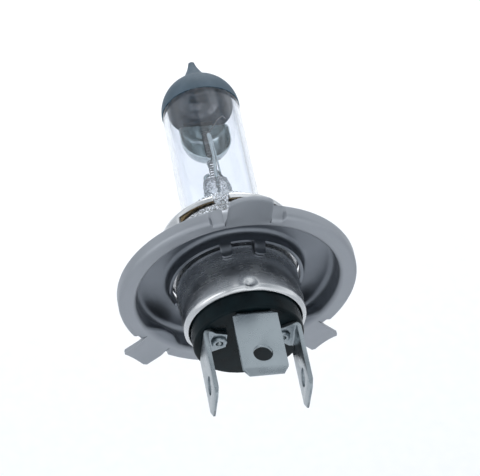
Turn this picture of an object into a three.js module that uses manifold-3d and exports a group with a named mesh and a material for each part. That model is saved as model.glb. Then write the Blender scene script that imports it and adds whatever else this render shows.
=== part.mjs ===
// Twin-filament headlight bulb on a three-lug focusing cap.
// Millimetres. +Y runs along the lamp axis towards the glass tip, +Z points at the wide top lug.
// The origin is on the axis, in the plane where the lugs seat on the reflector.
import * as THREE from 'three';
import { mergeVertices } from 'three/addons/utils/BufferGeometryUtils.js';
import Module from 'manifold-3d';

const wasm = await Module();
wasm.setup();

// ---- Driving dimensions ----

// Focusing ring
const BRIM_R = 21.5;
const RIM_EDGE_Y = 1.6;
const NECK_R = 19;
const NECK_DEPTH = 4.2;
const RING_SHEET = 0.8;
const COLLAR_SHEET = 0.6;
const COLLAR_GAP = 0.5;
const COLLAR_EDGE_Y = 1.2;
const TOP_LUG_WIDTH = 8;
const SIDE_LUG_WIDTH = 6;
const LUG_REACH = 4.6;
const SIDE_LUG_REACH = 3.7;
const SIDE_LUG_ANGLE = 135;
const LUG_RELIEF = 1.1;
const POCKET_DEPTH = 2;
const TAB_WIDTH = 2.1;
const TAB_SHEET = 0.5;
const TAB_LENGTH = 2.5;
const TAB_PITCH_ANGLE = 15;

// Cap shell
const SHELL_R = 11;
const SHELL_SHEET = 0.5;
const SHELL_REAR_Y = -8.5;
const SHELL_FRONT_Y = 6.5;
const LIP_R = 0.8;
const CRIMP_BALL_R = 1.5;
const CRIMP_DEPTH = 0.3;

// Insulator, blades and eyelets
const INSULATOR_OUT = 3.3;
const INSULATOR_WALL = 4;
const INSULATOR_FLANGE = 3.5;
const BLADE_WIDTH = 8;
const BLADE_SHEET = 0.8;
const BLADE_LENGTH = 13.8;
const BLADE_HOLE_R = 1.7;
const BLADE_HOLE_FROM_TIP = 4.4;
const BLADE_CORNER = 1.3;
const SIDE_BLADE_INSET = 1.6;
const SIDE_BLADE_Z = 0.8;
const TOP_BLADE_INSET = 0.9;
const FOOT_REACH = 4.4;
const FOOT_ROOT_WIDTH = 6.2;
const FOOT_END_WIDTH = 4;
const EYELET_R = 0.9;
const EYELET_BORE_R = 0.55;
const EYELET_FLANGE_R = 1.4;
const LEAD_R = 0.25;

// Bulb holder and pinch clip
const HOLDER_SHEET = 0.5;
const HOLDER_FRONT_Y = 12.6;
const HOLDER_SHOULDER = 1.2;
const HOLDER_WINDOW_ANGLE = 104;
const HOLDER_WINDOW_HEIGHT = 3.9;
const HOLDER_RIM = 1.6;
const HOLDER_NOTCH_WIDTH = 3;
const HOLDER_NOTCH_ANGLE = -10;
const CLIP_SHEET = 0.4;
const CLIP_REAR_Y = 5;
const CLIP_FRONT_Y = 10.6;
const CLIP_SHOULDER = 1.8;

// Glass lamp
const TUBE_R = 7.15;
const TUBE_WALL = 1;
const TUBE_REAR_Y = 15.2;
const DOME_Y = 40.7;
const PIP_HEIGHT = 4.6;
const PIP_R = 0.55;
const PINCH_WIDTH = 13;
const PINCH_THICK = 3.6;
const PINCH_REAR_Y = 2;
const COATING_THICK = 0.25;
const FOIL_WIDTH = 2.4;
const FOIL_SHEET = 0.12;
const FOIL_LENGTH = 5;
const FOIL_PITCH = 4.1;

// Filaments, shield and their supports
const COIL_R = 0.7;
const COIL_WIRE_R = 0.13;
const HIGH_COIL_Y = 24.8;
const HIGH_COIL_LENGTH = 4.1;
const LOW_COIL_Y = 30;
const LOW_COIL_LENGTH = 5.4;
const SHIELD_R = 4.7;
const SHIELD_SHEET = 0.25;
const SHIELD_REAR_Y = 29.4;
const SHIELD_FRONT_Y = 37.2;
const SHIELD_LIP_X = [-3.6, 1.7];
const SHIELD_LIP_REACH = 0.9;
const SUPPORT_R = 0.35;
const BRIDGE_WIDTH = 5.6;
const BRIDGE_THICK = 4.2;
const BRIDGE_REAR_Y = 19;
const BRIDGE_FRONT_Y = 24.1;
const BRIDGE_WIRE_PITCH = 1.75;

// Clearances
const TOUCH = 0.05;
const FIT = 0.3;

// ---- Sizes that follow from them ----

const NECK_CORNER = 2;
const COLLAR_IN = SHELL_R + COLLAR_GAP;
const COLLAR_OUT = COLLAR_IN + COLLAR_SHEET;
const SHELL_IN = SHELL_R - SHELL_SHEET;
const INSULATOR_R = SHELL_R - LIP_R - FIT;
const INSULATOR_REAR_Y = SHELL_REAR_Y - INSULATOR_OUT;
const TIP_Y = INSULATOR_REAR_Y - BLADE_LENGTH;
const SIDE_BLADE_X = INSULATOR_R - SIDE_BLADE_INSET;
const TOP_BLADE_Z = INSULATOR_R - TOP_BLADE_INSET;
const FOOT_FRONT_Y = INSULATOR_REAR_Y - TOUCH;
const FOOT_REAR_Y = FOOT_FRONT_Y - BLADE_SHEET;
const SIDE_EYELET_X = SIDE_BLADE_X - 2.65;
const SIDE_EYELET_Z = SIDE_BLADE_Z + 0.9;
const TOP_EYELET_Z = TOP_BLADE_Z - 3.2;
const HOLDER_IN = SHELL_R + FIT + TOUCH;
const HOLDER_R = HOLDER_IN + HOLDER_SHEET;
const HOLDER_REAR_Y = NECK_DEPTH + FIT;
const HOLDER_OPENING_R = TUBE_R + 2.1;
const CLIP_R = SHELL_IN - FIT;
const PINCH_FRONT_Y = TUBE_REAR_Y - 2.5;
const FOIL_REAR_Y = PINCH_REAR_Y + 3;
const FOIL_FRONT_Y = FOIL_REAR_Y + FOIL_LENGTH;
const TUBE_IN = TUBE_R - TUBE_WALL;
const DEG = Math.PI / 180;

// ---- Helpers ----

// A closed body from any three.js geometry, with its faces turned outwards.
function solid(geometry) {
  const bare = geometry.clone();
  bare.deleteAttribute('normal');
  bare.deleteAttribute('uv');
  const merged = mergeVertices(bare, 1e-5);
  const index = Array.from(merged.index.array);
  const position = merged.attributes.position.array;
  const kept = [];
  for (let i = 0; i < index.length; i += 3) {
    const [a, b, c] = index.slice(i, i + 3);
    if (a !== b && b !== c && c !== a) kept.push(a, b, c);
  }
  if (signedVolume(position, kept) < 0) kept.reverse();
  const mesh = new wasm.Mesh({
    numProp: 3,
    vertProperties: Float32Array.from(position),
    triVerts: Uint32Array.from(kept),
  });
  return new wasm.Manifold(mesh);
}

function signedVolume(position, index) {
  const corner = (i) => new THREE.Vector3().fromArray(position, 3 * index[i]);
  let volume = 0;
  for (let i = 0; i < index.length; i += 3) {
    volume += corner(i).dot(corner(i + 1).cross(corner(i + 2)));
  }
  return volume;
}

// The triangles of a finished solid, for a mesh.
function surface(body) {
  const mesh = body.getMesh();
  const geometry = new THREE.BufferGeometry();
  geometry.setAttribute('position', new THREE.BufferAttribute(mesh.vertProperties, 3));
  geometry.setIndex(new THREE.BufferAttribute(mesh.triVerts, 1));
  geometry.computeVertexNormals();
  return geometry;
}

// Points [radius, y] of an arc from angle a0 to a1, in degrees.
function arc(r, y, radius, a0, a1, steps = 3) {
  const points = [];
  for (let i = 0; i <= steps; i += 1) {
    const angle = (a0 + ((a1 - a0) * i) / steps) * DEG;
    points.push([r + radius * Math.cos(angle), y + radius * Math.sin(angle)]);
  }
  return points;
}

// A body of revolution about the lamp axis. A profile off the axis closes on itself.
function turned(profile, segments = 48) {
  const points = profile.map(([r, y]) => new THREE.Vector2(Math.max(r, 0), y));
  const onAxis = profile[0][0] < 1e-9 && profile.at(-1)[0] < 1e-9;
  if (!onAxis) points.push(points[0].clone());
  return solid(new THREE.LatheGeometry(points, segments));
}

// A box given by its lowest and highest corners.
function block(low, high) {
  const size = high.map((value, i) => value - low[i]);
  const middle = high.map((value, i) => (value + low[i]) / 2);
  return solid(new THREE.BoxGeometry(...size).translate(...middle));
}

// A flat plate whose outline lies in X and Z, between two heights on the lamp axis.
function plate(shape, y0, y1, curveSegments = 8) {
  const options = { depth: y1 - y0, bevelEnabled: false, curveSegments };
  return solid(new THREE.ExtrudeGeometry(shape, options).rotateX(Math.PI / 2).translate(0, y1, 0));
}

function outline(points) {
  return new THREE.Shape(points.map(([x, z]) => new THREE.Vector2(x, z)));
}

// A round pin along the lamp axis.
function pin(radius, y0, y1, x = 0, z = 0, segments = 16) {
  return turned([[0, y0], [radius, y0], [radius, y1], [0, y1]], segments).translate([x, 0, z]);
}

// A wire of round section along a smooth curve.
function wire(points, radius, steps, sides = 6) {
  const curve = new THREE.CatmullRomCurve3(points.map((point) => new THREE.Vector3(...point)));
  const section = new THREE.Shape();
  for (let i = 0; i < sides; i += 1) {
    const angle = (2 * Math.PI * i) / sides;
    const corner = [radius * Math.cos(angle), radius * Math.sin(angle)];
    if (i === 0) section.moveTo(...corner);
    else section.lineTo(...corner);
  }
  return solid(new THREE.ExtrudeGeometry(section, { steps, extrudePath: curve, bevelEnabled: false }));
}

// Turns a body about the lamp axis, from the top lug towards +X, in degrees.
function turnAbout(body, angle) {
  return body.rotate([0, angle, 0]);
}

function unite(bodies) {
  return bodies.reduce((sum, body) => sum.add(body));
}

function without(body, cutters) {
  return cutters.reduce((rest, cutter) => rest.subtract(cutter), body);
}

// ---- Focusing ring: turned-up rim, brim, neck, floor and collar pressed from one sheet ----

function ringProfile() {
  const neckIn = NECK_R - RING_SHEET;
  const floorRear = NECK_DEPTH - RING_SHEET;
  const inner = NECK_CORNER - RING_SHEET;
  const fillet = 1;
  return [
    [COLLAR_IN, COLLAR_EDGE_Y],
    ...arc(COLLAR_IN + inner, NECK_DEPTH - inner, inner, 180, 90),
    ...arc(NECK_R - NECK_CORNER, NECK_DEPTH - NECK_CORNER, NECK_CORNER, 90, 0),
    [NECK_R, 0.3],
    [NECK_R + 0.3, 0],
    [BRIM_R - RING_SHEET, 0],
    [BRIM_R - RING_SHEET, RIM_EDGE_Y],
    [BRIM_R, RIM_EDGE_Y],
    [BRIM_R, 0.5 - RING_SHEET],
    [BRIM_R - 0.5, -RING_SHEET],
    ...arc(neckIn + fillet, fillet - RING_SHEET, fillet, 270, 180),
    ...arc(neckIn - inner, floorRear - inner, inner, 0, 90),
    ...arc(COLLAR_OUT + fillet, floorRear - fillet, fillet, 90, 180),
    [COLLAR_OUT, COLLAR_EDGE_Y],
  ];
}

// A lug reaches out from the brim and ends on an arc round the lamp axis.
function lug(width, reach) {
  const outer = BRIM_R + reach;
  const half = width / 2;
  const side = Math.sqrt(outer * outer - half * half);
  const root = BRIM_R - 1.5;
  const shape = outline([[-half, root], [half, root], [half, side]]);
  const start = Math.atan2(side, half);
  shape.absarc(0, 0, outer, start, Math.PI - start, false);
  return plate(shape, -RING_SHEET, 0);
}

// Beside a lug the brim is relieved, and behind it the turned-up rim stops.
function lugReliefs(width) {
  const inside = width / 2;
  const outside = inside + LUG_RELIEF;
  const root = BRIM_R - 1.3;
  const past = BRIM_R + 2;
  return [
    block([inside, -RING_SHEET - 1, root], [outside, RIM_EDGE_Y + 1, past]),
    block([-outside, -RING_SHEET - 1, root], [-inside, RIM_EDGE_Y + 1, past]),
    block([-outside, 0, root], [outside, RIM_EDGE_Y + 1, past]),
  ];
}

// The neck is pressed flat behind each side lug, so that the reflector seat clears it.
function pocketPad() {
  const face = NECK_R - POCKET_DEPTH;
  const half = SIDE_LUG_WIDTH / 2 + 1 + RING_SHEET;
  return block([-half, -RING_SHEET, face - RING_SHEET], [half, NECK_DEPTH - 0.1, face + 1.6]);
}

function pocketCut() {
  const face = NECK_R - POCKET_DEPTH;
  const half = SIDE_LUG_WIDTH / 2 + 1;
  return block([-half, 0, face], [half, NECK_DEPTH - RING_SHEET, NECK_R + 1]);
}

function weldTab() {
  const low = SHELL_R + FIT;
  const half = TAB_WIDTH / 2;
  return block([-half, COLLAR_EDGE_Y - TAB_LENGTH, low], [half, COLLAR_EDGE_Y + 0.6, low + TAB_SHEET]);
}

function focusingRing() {
  const lugs = [
    { angle: 0, width: TOP_LUG_WIDTH, reach: LUG_REACH },
    { angle: SIDE_LUG_ANGLE, width: SIDE_LUG_WIDTH, reach: SIDE_LUG_REACH },
    { angle: -SIDE_LUG_ANGLE, width: SIDE_LUG_WIDTH, reach: SIDE_LUG_REACH },
  ];
  const sides = [SIDE_LUG_ANGLE, -SIDE_LUG_ANGLE];
  const tabAngles = [0, 120, 240].flatMap((at) => [at - TAB_PITCH_ANGLE, at + TAB_PITCH_ANGLE]);
  let body = turned(ringProfile(), 60);
  body = body.add(unite(sides.map((angle) => turnAbout(pocketPad(), angle))));
  body = without(body, sides.map((angle) => turnAbout(pocketCut(), angle)));
  for (const { angle, width, reach } of lugs) {
    const reliefs = lugReliefs(width).map((relief) => turnAbout(relief, angle));
    body = without(body, reliefs).add(turnAbout(lug(width, reach), angle));
  }
  return body.add(unite(tabAngles.map((angle) => turnAbout(weldTab(), angle))));
}

// ---- Cap shell: drawn sleeve, its rear edge rolled in over the insulator ----

function capShell() {
  const lipIn = INSULATOR_R + FIT;
  const profile = [
    [lipIn, SHELL_REAR_Y + 0.25],
    ...arc(SHELL_R - LIP_R, SHELL_REAR_Y + LIP_R, LIP_R, 270, 360, 4),
    [SHELL_R, SHELL_FRONT_Y],
    [SHELL_IN, SHELL_FRONT_Y],
    [SHELL_IN, SHELL_REAR_Y + LIP_R + 0.3],
    [lipIn, SHELL_REAR_Y + 0.9],
  ];
  const reach = SHELL_R + CRIMP_BALL_R - CRIMP_DEPTH;
  const ball = solid(new THREE.SphereGeometry(CRIMP_BALL_R, 12, 8));
  const crimp = ball.translate([0, SHELL_REAR_Y + LIP_R + 0.2, reach]);
  return without(turned(profile, 48), [0, 120, 240].map((angle) => turnAbout(crimp, angle)));
}

// ---- Insulator: moulded plug with a bore for each eyelet ----

const EYELETS = {
  low_beam: [0, TOP_EYELET_Z],
  high_beam: [-SIDE_EYELET_X, SIDE_EYELET_Z],
  common: [SIDE_EYELET_X, SIDE_EYELET_Z],
};

function insulator() {
  const flangeR = SHELL_IN - FIT;
  const flangeRear = SHELL_REAR_Y + LIP_R + FIT + CRIMP_DEPTH + 0.4;
  const flangeFront = flangeRear + INSULATOR_FLANGE;
  const floorY = INSULATOR_REAR_Y + INSULATOR_WALL;
  const cupR = INSULATOR_R - 1.2;
  const profile = [
    [0, INSULATOR_REAR_Y],
    [INSULATOR_R - 0.4, INSULATOR_REAR_Y],
    [INSULATOR_R, INSULATOR_REAR_Y + 0.4],
    [INSULATOR_R, flangeRear],
    [flangeR, flangeRear + 0.3],
    [flangeR, flangeFront],
    [cupR, flangeFront],
    [cupR, floorY],
    [0, floorY],
  ];
  const bores = Object.values(EYELETS).map(([x, z]) => (
    pin(EYELET_R + FIT, INSULATOR_REAR_Y - 1, floorY + 1, x, z)
  ));
  return without(turned(profile, 36), bores);
}

// ---- Contact blades: a tab with a hole and chamfered corners, and a riveted foot ----

// Built as the top blade: the tab lies across X and its foot reaches down towards the axis.
function blade(distance, eyeletSide, eyeletReach) {
  const half = BLADE_WIDTH / 2;
  const cut = BLADE_CORNER;
  const shape = outline([
    [-half, FOOT_FRONT_Y],
    [-half, TIP_Y + cut],
    [cut - half, TIP_Y],
    [half - cut, TIP_Y],
    [half, TIP_Y + cut],
    [half, FOOT_FRONT_Y],
  ]);
  const hole = new THREE.Path();
  hole.absarc(0, TIP_Y + BLADE_HOLE_FROM_TIP, BLADE_HOLE_R, 0, 2 * Math.PI, false);
  shape.holes.push(hole);
  const options = { depth: BLADE_SHEET, bevelEnabled: false, curveSegments: 20 };
  const tab = solid(new THREE.ExtrudeGeometry(shape, options).translate(0, 0, distance - BLADE_SHEET / 2));
  const top = distance + BLADE_SHEET / 2;
  const end = distance - FOOT_REACH;
  const root = FOOT_ROOT_WIDTH / 2;
  const tip = FOOT_END_WIDTH / 2;
  const footShape = outline([
    [eyeletSide - tip, end],
    [eyeletSide + tip, end],
    [eyeletSide + root, distance - 1],
    [eyeletSide + root, top],
    [eyeletSide - root, top],
    [eyeletSide - root, distance - 1],
  ]);
  const foot = plate(footShape, FOOT_REAR_Y, FOOT_FRONT_Y);
  const bore = pin(EYELET_R + FIT / 2, FOOT_REAR_Y - 1, FOOT_FRONT_Y + 1, eyeletSide, eyeletReach);
  return tab.add(foot).subtract(bore);
}

// The two side blades are the same tab, turned a quarter about the lamp axis and set a little high.
function sideBlade(side) {
  const turnedBlade = blade(SIDE_BLADE_X, side * (SIDE_BLADE_Z - SIDE_EYELET_Z), SIDE_EYELET_X);
  return turnAbout(turnedBlade, side * 90).translate([0, 0, SIDE_BLADE_Z]);
}

// ---- Eyelets and lead wires ----

function eyelet([x, z]) {
  const rear = FOOT_REAR_Y - TOUCH;
  const front = INSULATOR_REAR_Y + INSULATOR_WALL + 0.8;
  const profile = [
    [EYELET_BORE_R, rear - 0.35],
    [EYELET_FLANGE_R - 0.3, rear - 0.5],
    [EYELET_FLANGE_R, rear - 0.25],
    [EYELET_FLANGE_R, rear],
    [EYELET_R, rear],
    [EYELET_R, front],
    [EYELET_BORE_R, front],
  ];
  return turned(profile, 14).translate([x, 0, z]);
}

// Each lead leaves the pinch under its foil and runs back through its eyelet.
function leadWire(foilX, [x, z]) {
  const route = [
    [foilX, FOIL_REAR_Y - FIT, 0],
    [foilX, PINCH_REAR_Y - 1, 0],
    [(foilX + x) / 2, PINCH_REAR_Y - 4.5, z / 2],
    [x, INSULATOR_REAR_Y + INSULATOR_WALL + 2, z],
    [x, INSULATOR_REAR_Y, z],
    [x, FOOT_REAR_Y - 0.3, z],
  ];
  return wire(route, LEAD_R, 24);
}

// ---- Bulb holder: polished collar with windows, carrying the lamp ----

function sector(inner, outer, halfAngle, y0, y1) {
  const shape = new THREE.Shape();
  const from = (90 - halfAngle) * DEG;
  const to = (90 + halfAngle) * DEG;
  shape.absarc(0, 0, outer, from, to, false);
  shape.absarc(0, 0, inner, to, from, true);
  return plate(shape, y0, y1, 12);
}

function bulbHolder() {
  const shoulder = Math.min(HOLDER_SHOULDER, HOLDER_R - HOLDER_OPENING_R - 0.2);
  const inner = Math.max(shoulder - HOLDER_SHEET, 0.1);
  const top = HOLDER_FRONT_Y;
  const profile = [
    [HOLDER_R, HOLDER_REAR_Y],
    ...arc(HOLDER_R - shoulder, top - shoulder, shoulder, 0, 90, 4),
    [HOLDER_OPENING_R, top],
    [HOLDER_OPENING_R, top - HOLDER_SHEET],
    ...arc(HOLDER_IN - inner, top - HOLDER_SHEET - inner, inner, 90, 0, 3),
    [HOLDER_IN, HOLDER_REAR_Y],
  ];
  const windowTop = top - HOLDER_RIM;
  const windowRear = windowTop - HOLDER_WINDOW_HEIGHT;
  const opening = sector(HOLDER_R - 3, HOLDER_R + 2, HOLDER_WINDOW_ANGLE / 2, windowRear, windowTop);
  const half = HOLDER_NOTCH_WIDTH / 2;
  const notch = block([-half, windowTop - 0.5, HOLDER_OPENING_R - 2], [half, top + 1, HOLDER_R + 2]);
  const windows = [0, 120, 240].map((angle) => turnAbout(opening, angle));
  return without(turned(profile, 48), [...windows, turnAbout(notch, HOLDER_NOTCH_ANGLE)]);
}

// ---- Pinch clip: sprung cup inside the holder, gripping the flat end of the glass ----

function pinchClip() {
  const shoulder = Math.min(CLIP_SHOULDER, CLIP_R - TUBE_R - FIT - 0.4);
  const inner = shoulder - CLIP_SHEET;
  const profile = [
    [0, CLIP_REAR_Y],
    [CLIP_R, CLIP_REAR_Y],
    ...arc(CLIP_R - shoulder, CLIP_FRONT_Y - shoulder, shoulder, 0, 90, 3),
    ...arc(CLIP_R - shoulder, CLIP_FRONT_Y - shoulder, inner, 90, 0, 3),
    [CLIP_R - CLIP_SHEET, CLIP_REAR_Y + CLIP_SHEET],
    [0, CLIP_REAR_Y + CLIP_SHEET],
  ];
  const half = PINCH_WIDTH / 2 + FIT;
  const side = PINCH_THICK / 2 + FIT;
  const slot = block([-half, CLIP_REAR_Y - 1, -side], [half, CLIP_REAR_Y + 1, side]);
  return turned(profile, 36).subtract(slot);
}

// ---- Glass envelope: tube with a domed end and an exhaust pip, pinched flat at the rear ----

// Outline of the outside from the dome's edge to the tip, grown by a coat of paint.
function domeOutline(coat) {
  const radius = TUBE_R + coat;
  const pipBase = 66;
  const tip = DOME_Y + TUBE_R + PIP_HEIGHT + coat;
  const pip = PIP_R + coat;
  const foot = arc(0, DOME_Y, radius, 0, pipBase, 5);
  const [footR, footY] = foot.at(-1);
  return [
    ...foot,
    [footR * 0.55, footY + 0.32 * (tip - footY)],
    [pip * 1.35, footY + 0.66 * (tip - footY)],
    [pip, tip - 0.55],
    [pip * 0.6, tip - 0.12],
    [0, tip],
  ];
}

const WIRE_SLOT_WIDTH = FOIL_WIDTH + 2 * FIT;
const WIRE_SLOT_THICK = 2 * SUPPORT_R + 2 * FIT - 0.2;
const FOIL_X = [-FOIL_PITCH, 0, FOIL_PITCH];

function glassEnvelope() {
  const rise = TUBE_REAR_Y - PINCH_FRONT_Y;
  const outside = turned([
    [0, PINCH_FRONT_Y - 1.5],
    [TUBE_R - 3, PINCH_FRONT_Y - 1],
    [TUBE_R - 1, PINCH_FRONT_Y],
    [TUBE_R - 0.3, PINCH_FRONT_Y + rise / 2],
    [TUBE_R, TUBE_REAR_Y],
    ...domeOutline(0),
  ], 36);
  const inside = turned([
    [0, PINCH_FRONT_Y],
    [TUBE_IN - 2.2, PINCH_FRONT_Y + 0.5],
    [TUBE_IN - 0.6, PINCH_FRONT_Y + rise / 2 + 0.5],
    [TUBE_IN, TUBE_REAR_Y + 1],
    ...arc(0, DOME_Y, TUBE_IN, 0, 90, 5),
  ], 36);
  const half = PINCH_WIDTH / 2;
  const side = PINCH_THICK / 2;
  const pinch = block([-half, PINCH_REAR_Y, -side], [half, PINCH_FRONT_Y, side]);
  const slots = FOIL_X.map((x) => block(
    [x - WIRE_SLOT_WIDTH / 2, PINCH_REAR_Y - 1, -WIRE_SLOT_THICK / 2],
    [x + WIRE_SLOT_WIDTH / 2, PINCH_FRONT_Y + 1.3, WIRE_SLOT_THICK / 2],
  ));
  return without(outside.add(pinch), [inside, ...slots]);
}

function blackTopCoating() {
  const outer = domeOutline(COATING_THICK + TOUCH);
  const inner = domeOutline(TOUCH).reverse();
  return turned([...outer, ...inner], 36);
}

function foil(x) {
  const half = FOIL_WIDTH / 2;
  return block([x - half, FOIL_REAR_Y, -FOIL_SHEET / 2], [x + half, FOIL_FRONT_Y, FOIL_SHEET / 2]);
}

// ---- Filaments: single coils along the axis, each with a leg at both ends ----

function filament(start, length, turns, firstLeg, lastLeg) {
  const perTurn = 8;
  const points = [firstLeg];
  for (let i = 0; i <= turns * perTurn; i += 1) {
    const angle = (2 * Math.PI * i) / perTurn;
    const y = start + (length * i) / (turns * perTurn);
    points.push([COIL_R * Math.cos(angle), y, COIL_R * Math.sin(angle)]);
  }
  points.push(lastLeg);
  return wire(points, COIL_WIRE_R, turns * perTurn + 6, 5);
}

// ---- Shield: tub under the low-beam filament, open towards the top lug, with a lip on its front wall ----

function lowBeamShield() {
  const round = SHIELD_REAR_Y + SHIELD_R;
  const inner = SHIELD_R - SHIELD_SHEET;
  const profile = [
    ...arc(0, round, SHIELD_R, 270, 360, 6),
    [SHIELD_R, SHIELD_FRONT_Y],
    [0, SHIELD_FRONT_Y],
    [0, SHIELD_FRONT_Y - SHIELD_SHEET],
    [inner, SHIELD_FRONT_Y - SHIELD_SHEET],
    ...arc(0, round, inner, 360, 270, 6),
  ];
  const far = SHIELD_R + 1;
  const openSide = block([-far, SHIELD_REAR_Y - 1, 0], [far, SHIELD_FRONT_Y + 1, far]);
  const [left, right] = SHIELD_LIP_X;
  const lip = block(
    [left, SHIELD_FRONT_Y - SHIELD_SHEET, -SHIELD_SHEET],
    [right, SHIELD_FRONT_Y + SHIELD_LIP_REACH, 0],
  );
  return turned(profile, 28).subtract(openSide).add(lip);
}

// ---- Support wires and the glass bridge that ties them together ----

const LOW_WIRE_Z = COIL_R + COIL_WIRE_R + SUPPORT_R + FIT - 0.15;
const SUPPORT_START_Y = FOIL_FRONT_Y + FIT;
const BRIDGE_LEAD_IN = 0.8;
const SHIELD_WIRE_Z = SHIELD_R + SUPPORT_R + FIT;

const SUPPORT_ROUTES = {
  high_beam: [
    [-FOIL_PITCH, SUPPORT_START_Y, 0],
    [-FOIL_PITCH, PINCH_FRONT_Y + 1, 0],
    [-BRIDGE_WIRE_PITCH, BRIDGE_REAR_Y - BRIDGE_LEAD_IN, 0],
    [-BRIDGE_WIRE_PITCH, BRIDGE_REAR_Y, 0],
    [-BRIDGE_WIRE_PITCH, BRIDGE_FRONT_Y, 0],
    [-BRIDGE_WIRE_PITCH, BRIDGE_FRONT_Y + 1.4, 0],
  ],
  low_beam: [
    [0, SUPPORT_START_Y, 0],
    [0, PINCH_FRONT_Y + 1, 0],
    [0, BRIDGE_REAR_Y - BRIDGE_LEAD_IN, LOW_WIRE_Z],
    [0, BRIDGE_REAR_Y, LOW_WIRE_Z],
    [0, BRIDGE_FRONT_Y, LOW_WIRE_Z],
    [0.2, BRIDGE_FRONT_Y + 2.5, LOW_WIRE_Z + 0.3],
    [0.5, LOW_COIL_Y + LOW_COIL_LENGTH * 0.6, LOW_WIRE_Z + 0.5],
  ],
  common: [
    [FOIL_PITCH, SUPPORT_START_Y, 0],
    [FOIL_PITCH, PINCH_FRONT_Y + 1, 0],
    [BRIDGE_WIRE_PITCH, BRIDGE_REAR_Y - BRIDGE_LEAD_IN, 0],
    [BRIDGE_WIRE_PITCH, BRIDGE_REAR_Y, 0],
    [BRIDGE_WIRE_PITCH, BRIDGE_FRONT_Y, 0],
    [1.3, BRIDGE_FRONT_Y + 1.8, -0.8],
    [0.8, SHIELD_REAR_Y - 1.1, -2],
    [0.4, SHIELD_REAR_Y + 1, 0.3 - SHIELD_R],
    [0.3, SHIELD_REAR_Y + 4, -SHIELD_WIRE_Z],
    [0.3, SHIELD_REAR_Y + 6.5, -SHIELD_WIRE_Z],
  ],
};

function glassBridge() {
  const half = BRIDGE_WIDTH / 2;
  const side = BRIDGE_THICK / 2;
  const soft = 1.1;
  const shape = new THREE.Shape();
  shape.absarc(half - soft, side - soft, soft, 0, Math.PI / 2, false);
  shape.absarc(soft - half, side - soft, soft, Math.PI / 2, Math.PI, false);
  shape.absarc(soft - half, soft - side, soft, Math.PI, 1.5 * Math.PI, false);
  shape.absarc(half - soft, soft - side, soft, 1.5 * Math.PI, 2 * Math.PI, false);
  const channel = SUPPORT_R + FIT;
  const past = 1;
  const wires = [[-BRIDGE_WIRE_PITCH, 0], [0, LOW_WIRE_Z], [BRIDGE_WIRE_PITCH, 0]];
  const channels = wires.map(([x, z]) => (
    pin(channel, BRIDGE_REAR_Y - past, BRIDGE_FRONT_Y + past, x, z, 12)
  ));
  return without(plate(shape, BRIDGE_REAR_Y, BRIDGE_FRONT_Y, 4), channels);
}

// ---- Assembly ----

const FINISH = {
  stainless: { color: 0x8a9096, roughness: 0.35, metalness: 1 },
  nickel_steel: { color: 0x6f7476, roughness: 0.28, metalness: 1 },
  tinned_brass: { color: 0xa3acac, roughness: 0.42, metalness: 1 },
  bronze: { color: 0x8a7452, roughness: 0.3, metalness: 1 },
  molybdenum: { color: 0x9a9d9a, roughness: 0.3, metalness: 1 },
  tungsten: { color: 0x6a6c6e, roughness: 0.45, metalness: 1 },
  phenolic: { color: 0x101618, roughness: 0.35, metalness: 0 },
  black_paint: { color: 0x3e4a55, roughness: 0.6, metalness: 0 },
  quartz: { color: 0xedf1fc, roughness: 0.05, metalness: 0, opacity: 0.3, transparent: true },
};

const lamp = new THREE.Group();

function place(name, body, finish) {
  const mesh = new THREE.Mesh(surface(body), new THREE.MeshStandardMaterial(FINISH[finish]));
  mesh.name = name;
  lamp.add(mesh);
}

place('focusing_ring', focusingRing(), 'stainless');
place('cap_shell', capShell(), 'nickel_steel');
place('insulator', insulator(), 'phenolic');
place('blade_low_beam', blade(TOP_BLADE_Z, 0, TOP_EYELET_Z), 'tinned_brass');
place('blade_high_beam', sideBlade(-1), 'tinned_brass');
place('blade_common', sideBlade(1), 'tinned_brass');
place('bulb_holder', bulbHolder(), 'nickel_steel');
place('pinch_clip', pinchClip(), 'bronze');
place('glass_envelope', glassEnvelope(), 'quartz');
place('black_top_coating', blackTopCoating(), 'black_paint');
place('glass_bridge', glassBridge(), 'quartz');
place('low_beam_shield', lowBeamShield(), 'molybdenum');

const circuits = { high_beam: -FOIL_PITCH, low_beam: 0, common: FOIL_PITCH };
for (const [circuit, foilX] of Object.entries(circuits)) {
  place(`eyelet_${circuit}`, eyelet(EYELETS[circuit]), 'tinned_brass');
  place(`lead_wire_${circuit}`, leadWire(foilX, EYELETS[circuit]), 'molybdenum');
  place(`pinch_foil_${circuit}`, foil(foilX), 'molybdenum');
  place(`support_wire_${circuit}`, wire(SUPPORT_ROUTES[circuit], SUPPORT_R, 28), 'molybdenum');
}

const highEnd = HIGH_COIL_Y + HIGH_COIL_LENGTH;
const lowEnd = LOW_COIL_Y + LOW_COIL_LENGTH;
place('high_beam_filament', filament(
  HIGH_COIL_Y,
  HIGH_COIL_LENGTH,
  8,
  [COIL_R + 0.2, HIGH_COIL_Y - 0.3, -0.9],
  [COIL_R + 0.9, highEnd + 0.2, 0.3],
), 'tungsten');
place('low_beam_filament', filament(
  LOW_COIL_Y,
  LOW_COIL_LENGTH,
  10,
  [COIL_R + 0.5, LOW_COIL_Y - 0.3, 0.6],
  [COIL_R + 1.4, lowEnd + 0.5, 0.3],
), 'tungsten');

export default lamp;
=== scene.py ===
# %% [markdown]
# # A twin-filament headlight bulb
#
# The bulb is packed as plain solids, each the right size and in the right place. Here every visible
# piece is made again with the surface a viewer expects: pressed sheet steel with soft bends, blown
# quartz that refracts, coiled wire, a moulded plug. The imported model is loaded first, because every
# size and place below is read from it or is a named value in millimetres. The lamp axis is +Y and
# the wide lug points to +Z.

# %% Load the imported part
import math

import bmesh
import bpy
import numpy as np
from mathutils import Matrix, Vector


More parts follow.
